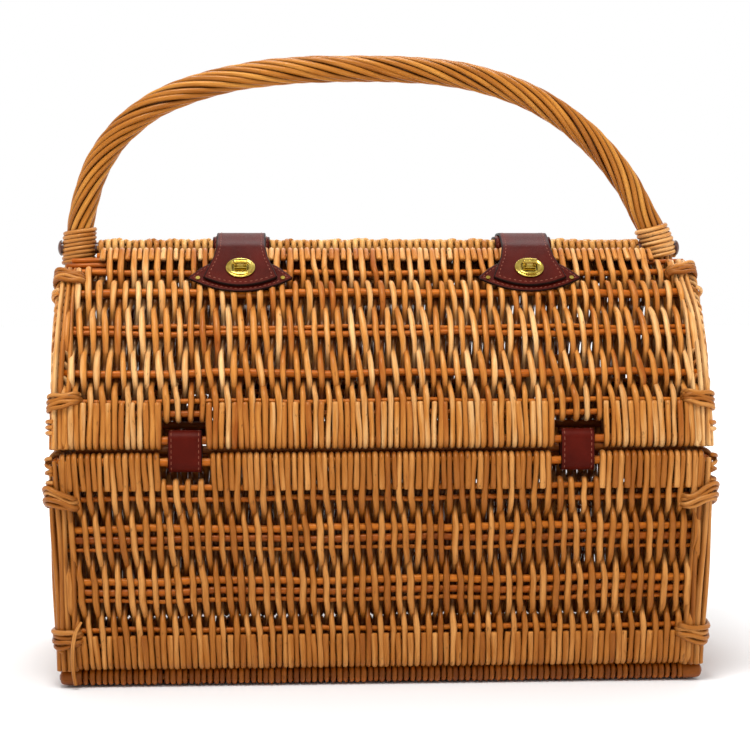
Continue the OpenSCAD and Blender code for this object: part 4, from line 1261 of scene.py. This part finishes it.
# ---------------------------------------------------------------- stage
floor_me = bpy.data.meshes.new("floor")
s_ = 6.0
floor_me.from_pydata([(-s_, -s_, 0), (s_, -s_, 0), (s_, s_, 0), (-s_, s_, 0)], [], [(0, 1, 2, 3)])
floor = bpy.data.objects.new("floor", floor_me)
bpy.context.scene.collection.objects.link(floor)
floor.location.z = -0.0002
fm, fnt, fbs = nodes_of("floor_pale")
fn = noise(fnt, node(fnt, "ShaderNodeTexCoord").outputs["Object"], 3.0, 2.0)
fnt.links.new(ramp(fnt, fn, [(0.2, (0.86, 0.86, 0.86, 1)), (0.8, (0.90, 0.90, 0.90, 1))]), fbs.inputs["Base Color"])
fbs.inputs["Roughness"].default_value = 0.9
fbs.inputs["Specular IOR Level"].default_value = 0.1
# the floor glows away from the middle: painted light that stands in for a lit white sweep
fl = node(fnt, "ShaderNodeVectorMath", {0: node(fnt, "ShaderNodeTexCoord").outputs["Object"]}, operation="LENGTH").outputs["Value"]
glow = node(fnt, "ShaderNodeMapRange", {0: fl, 1: 0.42, 2: 1.5, 3: 0.0, 4: 0.6}, interpolation_type="SMOOTHSTEP").outputs[0]
fbs.inputs["Emission Color"].default_value = (1, 1, 1, 1)
fnt.links.new(glow, fbs.inputs["Emission Strength"])
floor_me.materials.append(fm)

world = bpy.data.worlds.new("studio")
bpy.context.scene.world = world
world.use_nodes = True
wt = world.node_tree
bg = wt.nodes.get("Background")
# a white sweep behind and low down all round, and a darker room in front, fixed in the world
way = node(wt, "ShaderNodeSeparateXYZ", {0: node(wt, "ShaderNodeTexCoord").outputs["Generated"]})
back = node(wt, "ShaderNodeMapRange", {0: way.outputs["Y"], 1: -0.25, 2: 0.45, 3: 0.0, 4: 1.0}, interpolation_type="SMOOTHSTEP").outputs[0]
sky = mix(wt, back, (0.24, 0.24, 0.25, 1), (1.0, 1.0, 1.0, 1))
high = node(wt, "ShaderNodeMapRange", {0: way.outputs["Z"], 1: 0.25, 2: 0.7, 3: 0.0, 4: 1.0}, interpolation_type="SMOOTHSTEP").outputs[0]
low_band = node(wt, "ShaderNodeMapRange", {0: way.outputs["Z"], 1: 0.15, 2: 0.30, 3: 1.0, 4: 0.0}, interpolation_type="SMOOTHSTEP").outputs[0]
wt.links.new(mix(wt, low_band, mix(wt, high, sky, (0.72, 0.72, 0.72, 1)), (1.0, 1.0, 1.0, 1)), bg.inputs[0])
bg.inputs[1].default_value = 1.0


def area(name, loc, target, size, power, color=(1, 1, 1)):
    d = bpy.data.lights.new(name, "AREA")
    d.shape = "RECTANGLE"
    d.size, d.size_y = size
    d.energy = power
    d.color = color
    o = bpy.data.objects.new(name, d)
    bpy.context.scene.collection.objects.link(o)
    o.location = loc
    o.rotation_euler = (Vector(target) - Vector(loc)).to_track_quat("-Z", "Y").to_euler()
    return o


area("key", (-0.30, -0.90, 2.15), (0, -0.05, 0.25), (0.9, 0.6), 36)
area("fill", (1.5, -1.3, 1.0), (0, 0, 0.2), (0.8, 0.8), 4)
area("rim", (0.2, 1.2, 1.6), (0, 0, 0.3), (1.6, 0.7), 12)

cam_d = bpy.data.cameras.new("camera")
cam_d.sensor_width = 36
cam_d.lens = 91.9
cam_d.shift_x = -0.013
cam_d.shift_y = 0.0037
cam = bpy.data.objects.new("camera", cam_d)
bpy.context.scene.collection.objects.link(cam)
cam.location = (-0.0782, -1.5094, 0.3277)
cam.rotation_euler = (Vector((0, -0.115, 0.230)) - cam.location).to_track_quat("-Z", "Y").to_euler()
bpy.context.scene.camera = cam
bpy.context.scene.view_settings.view_transform = "Standard"
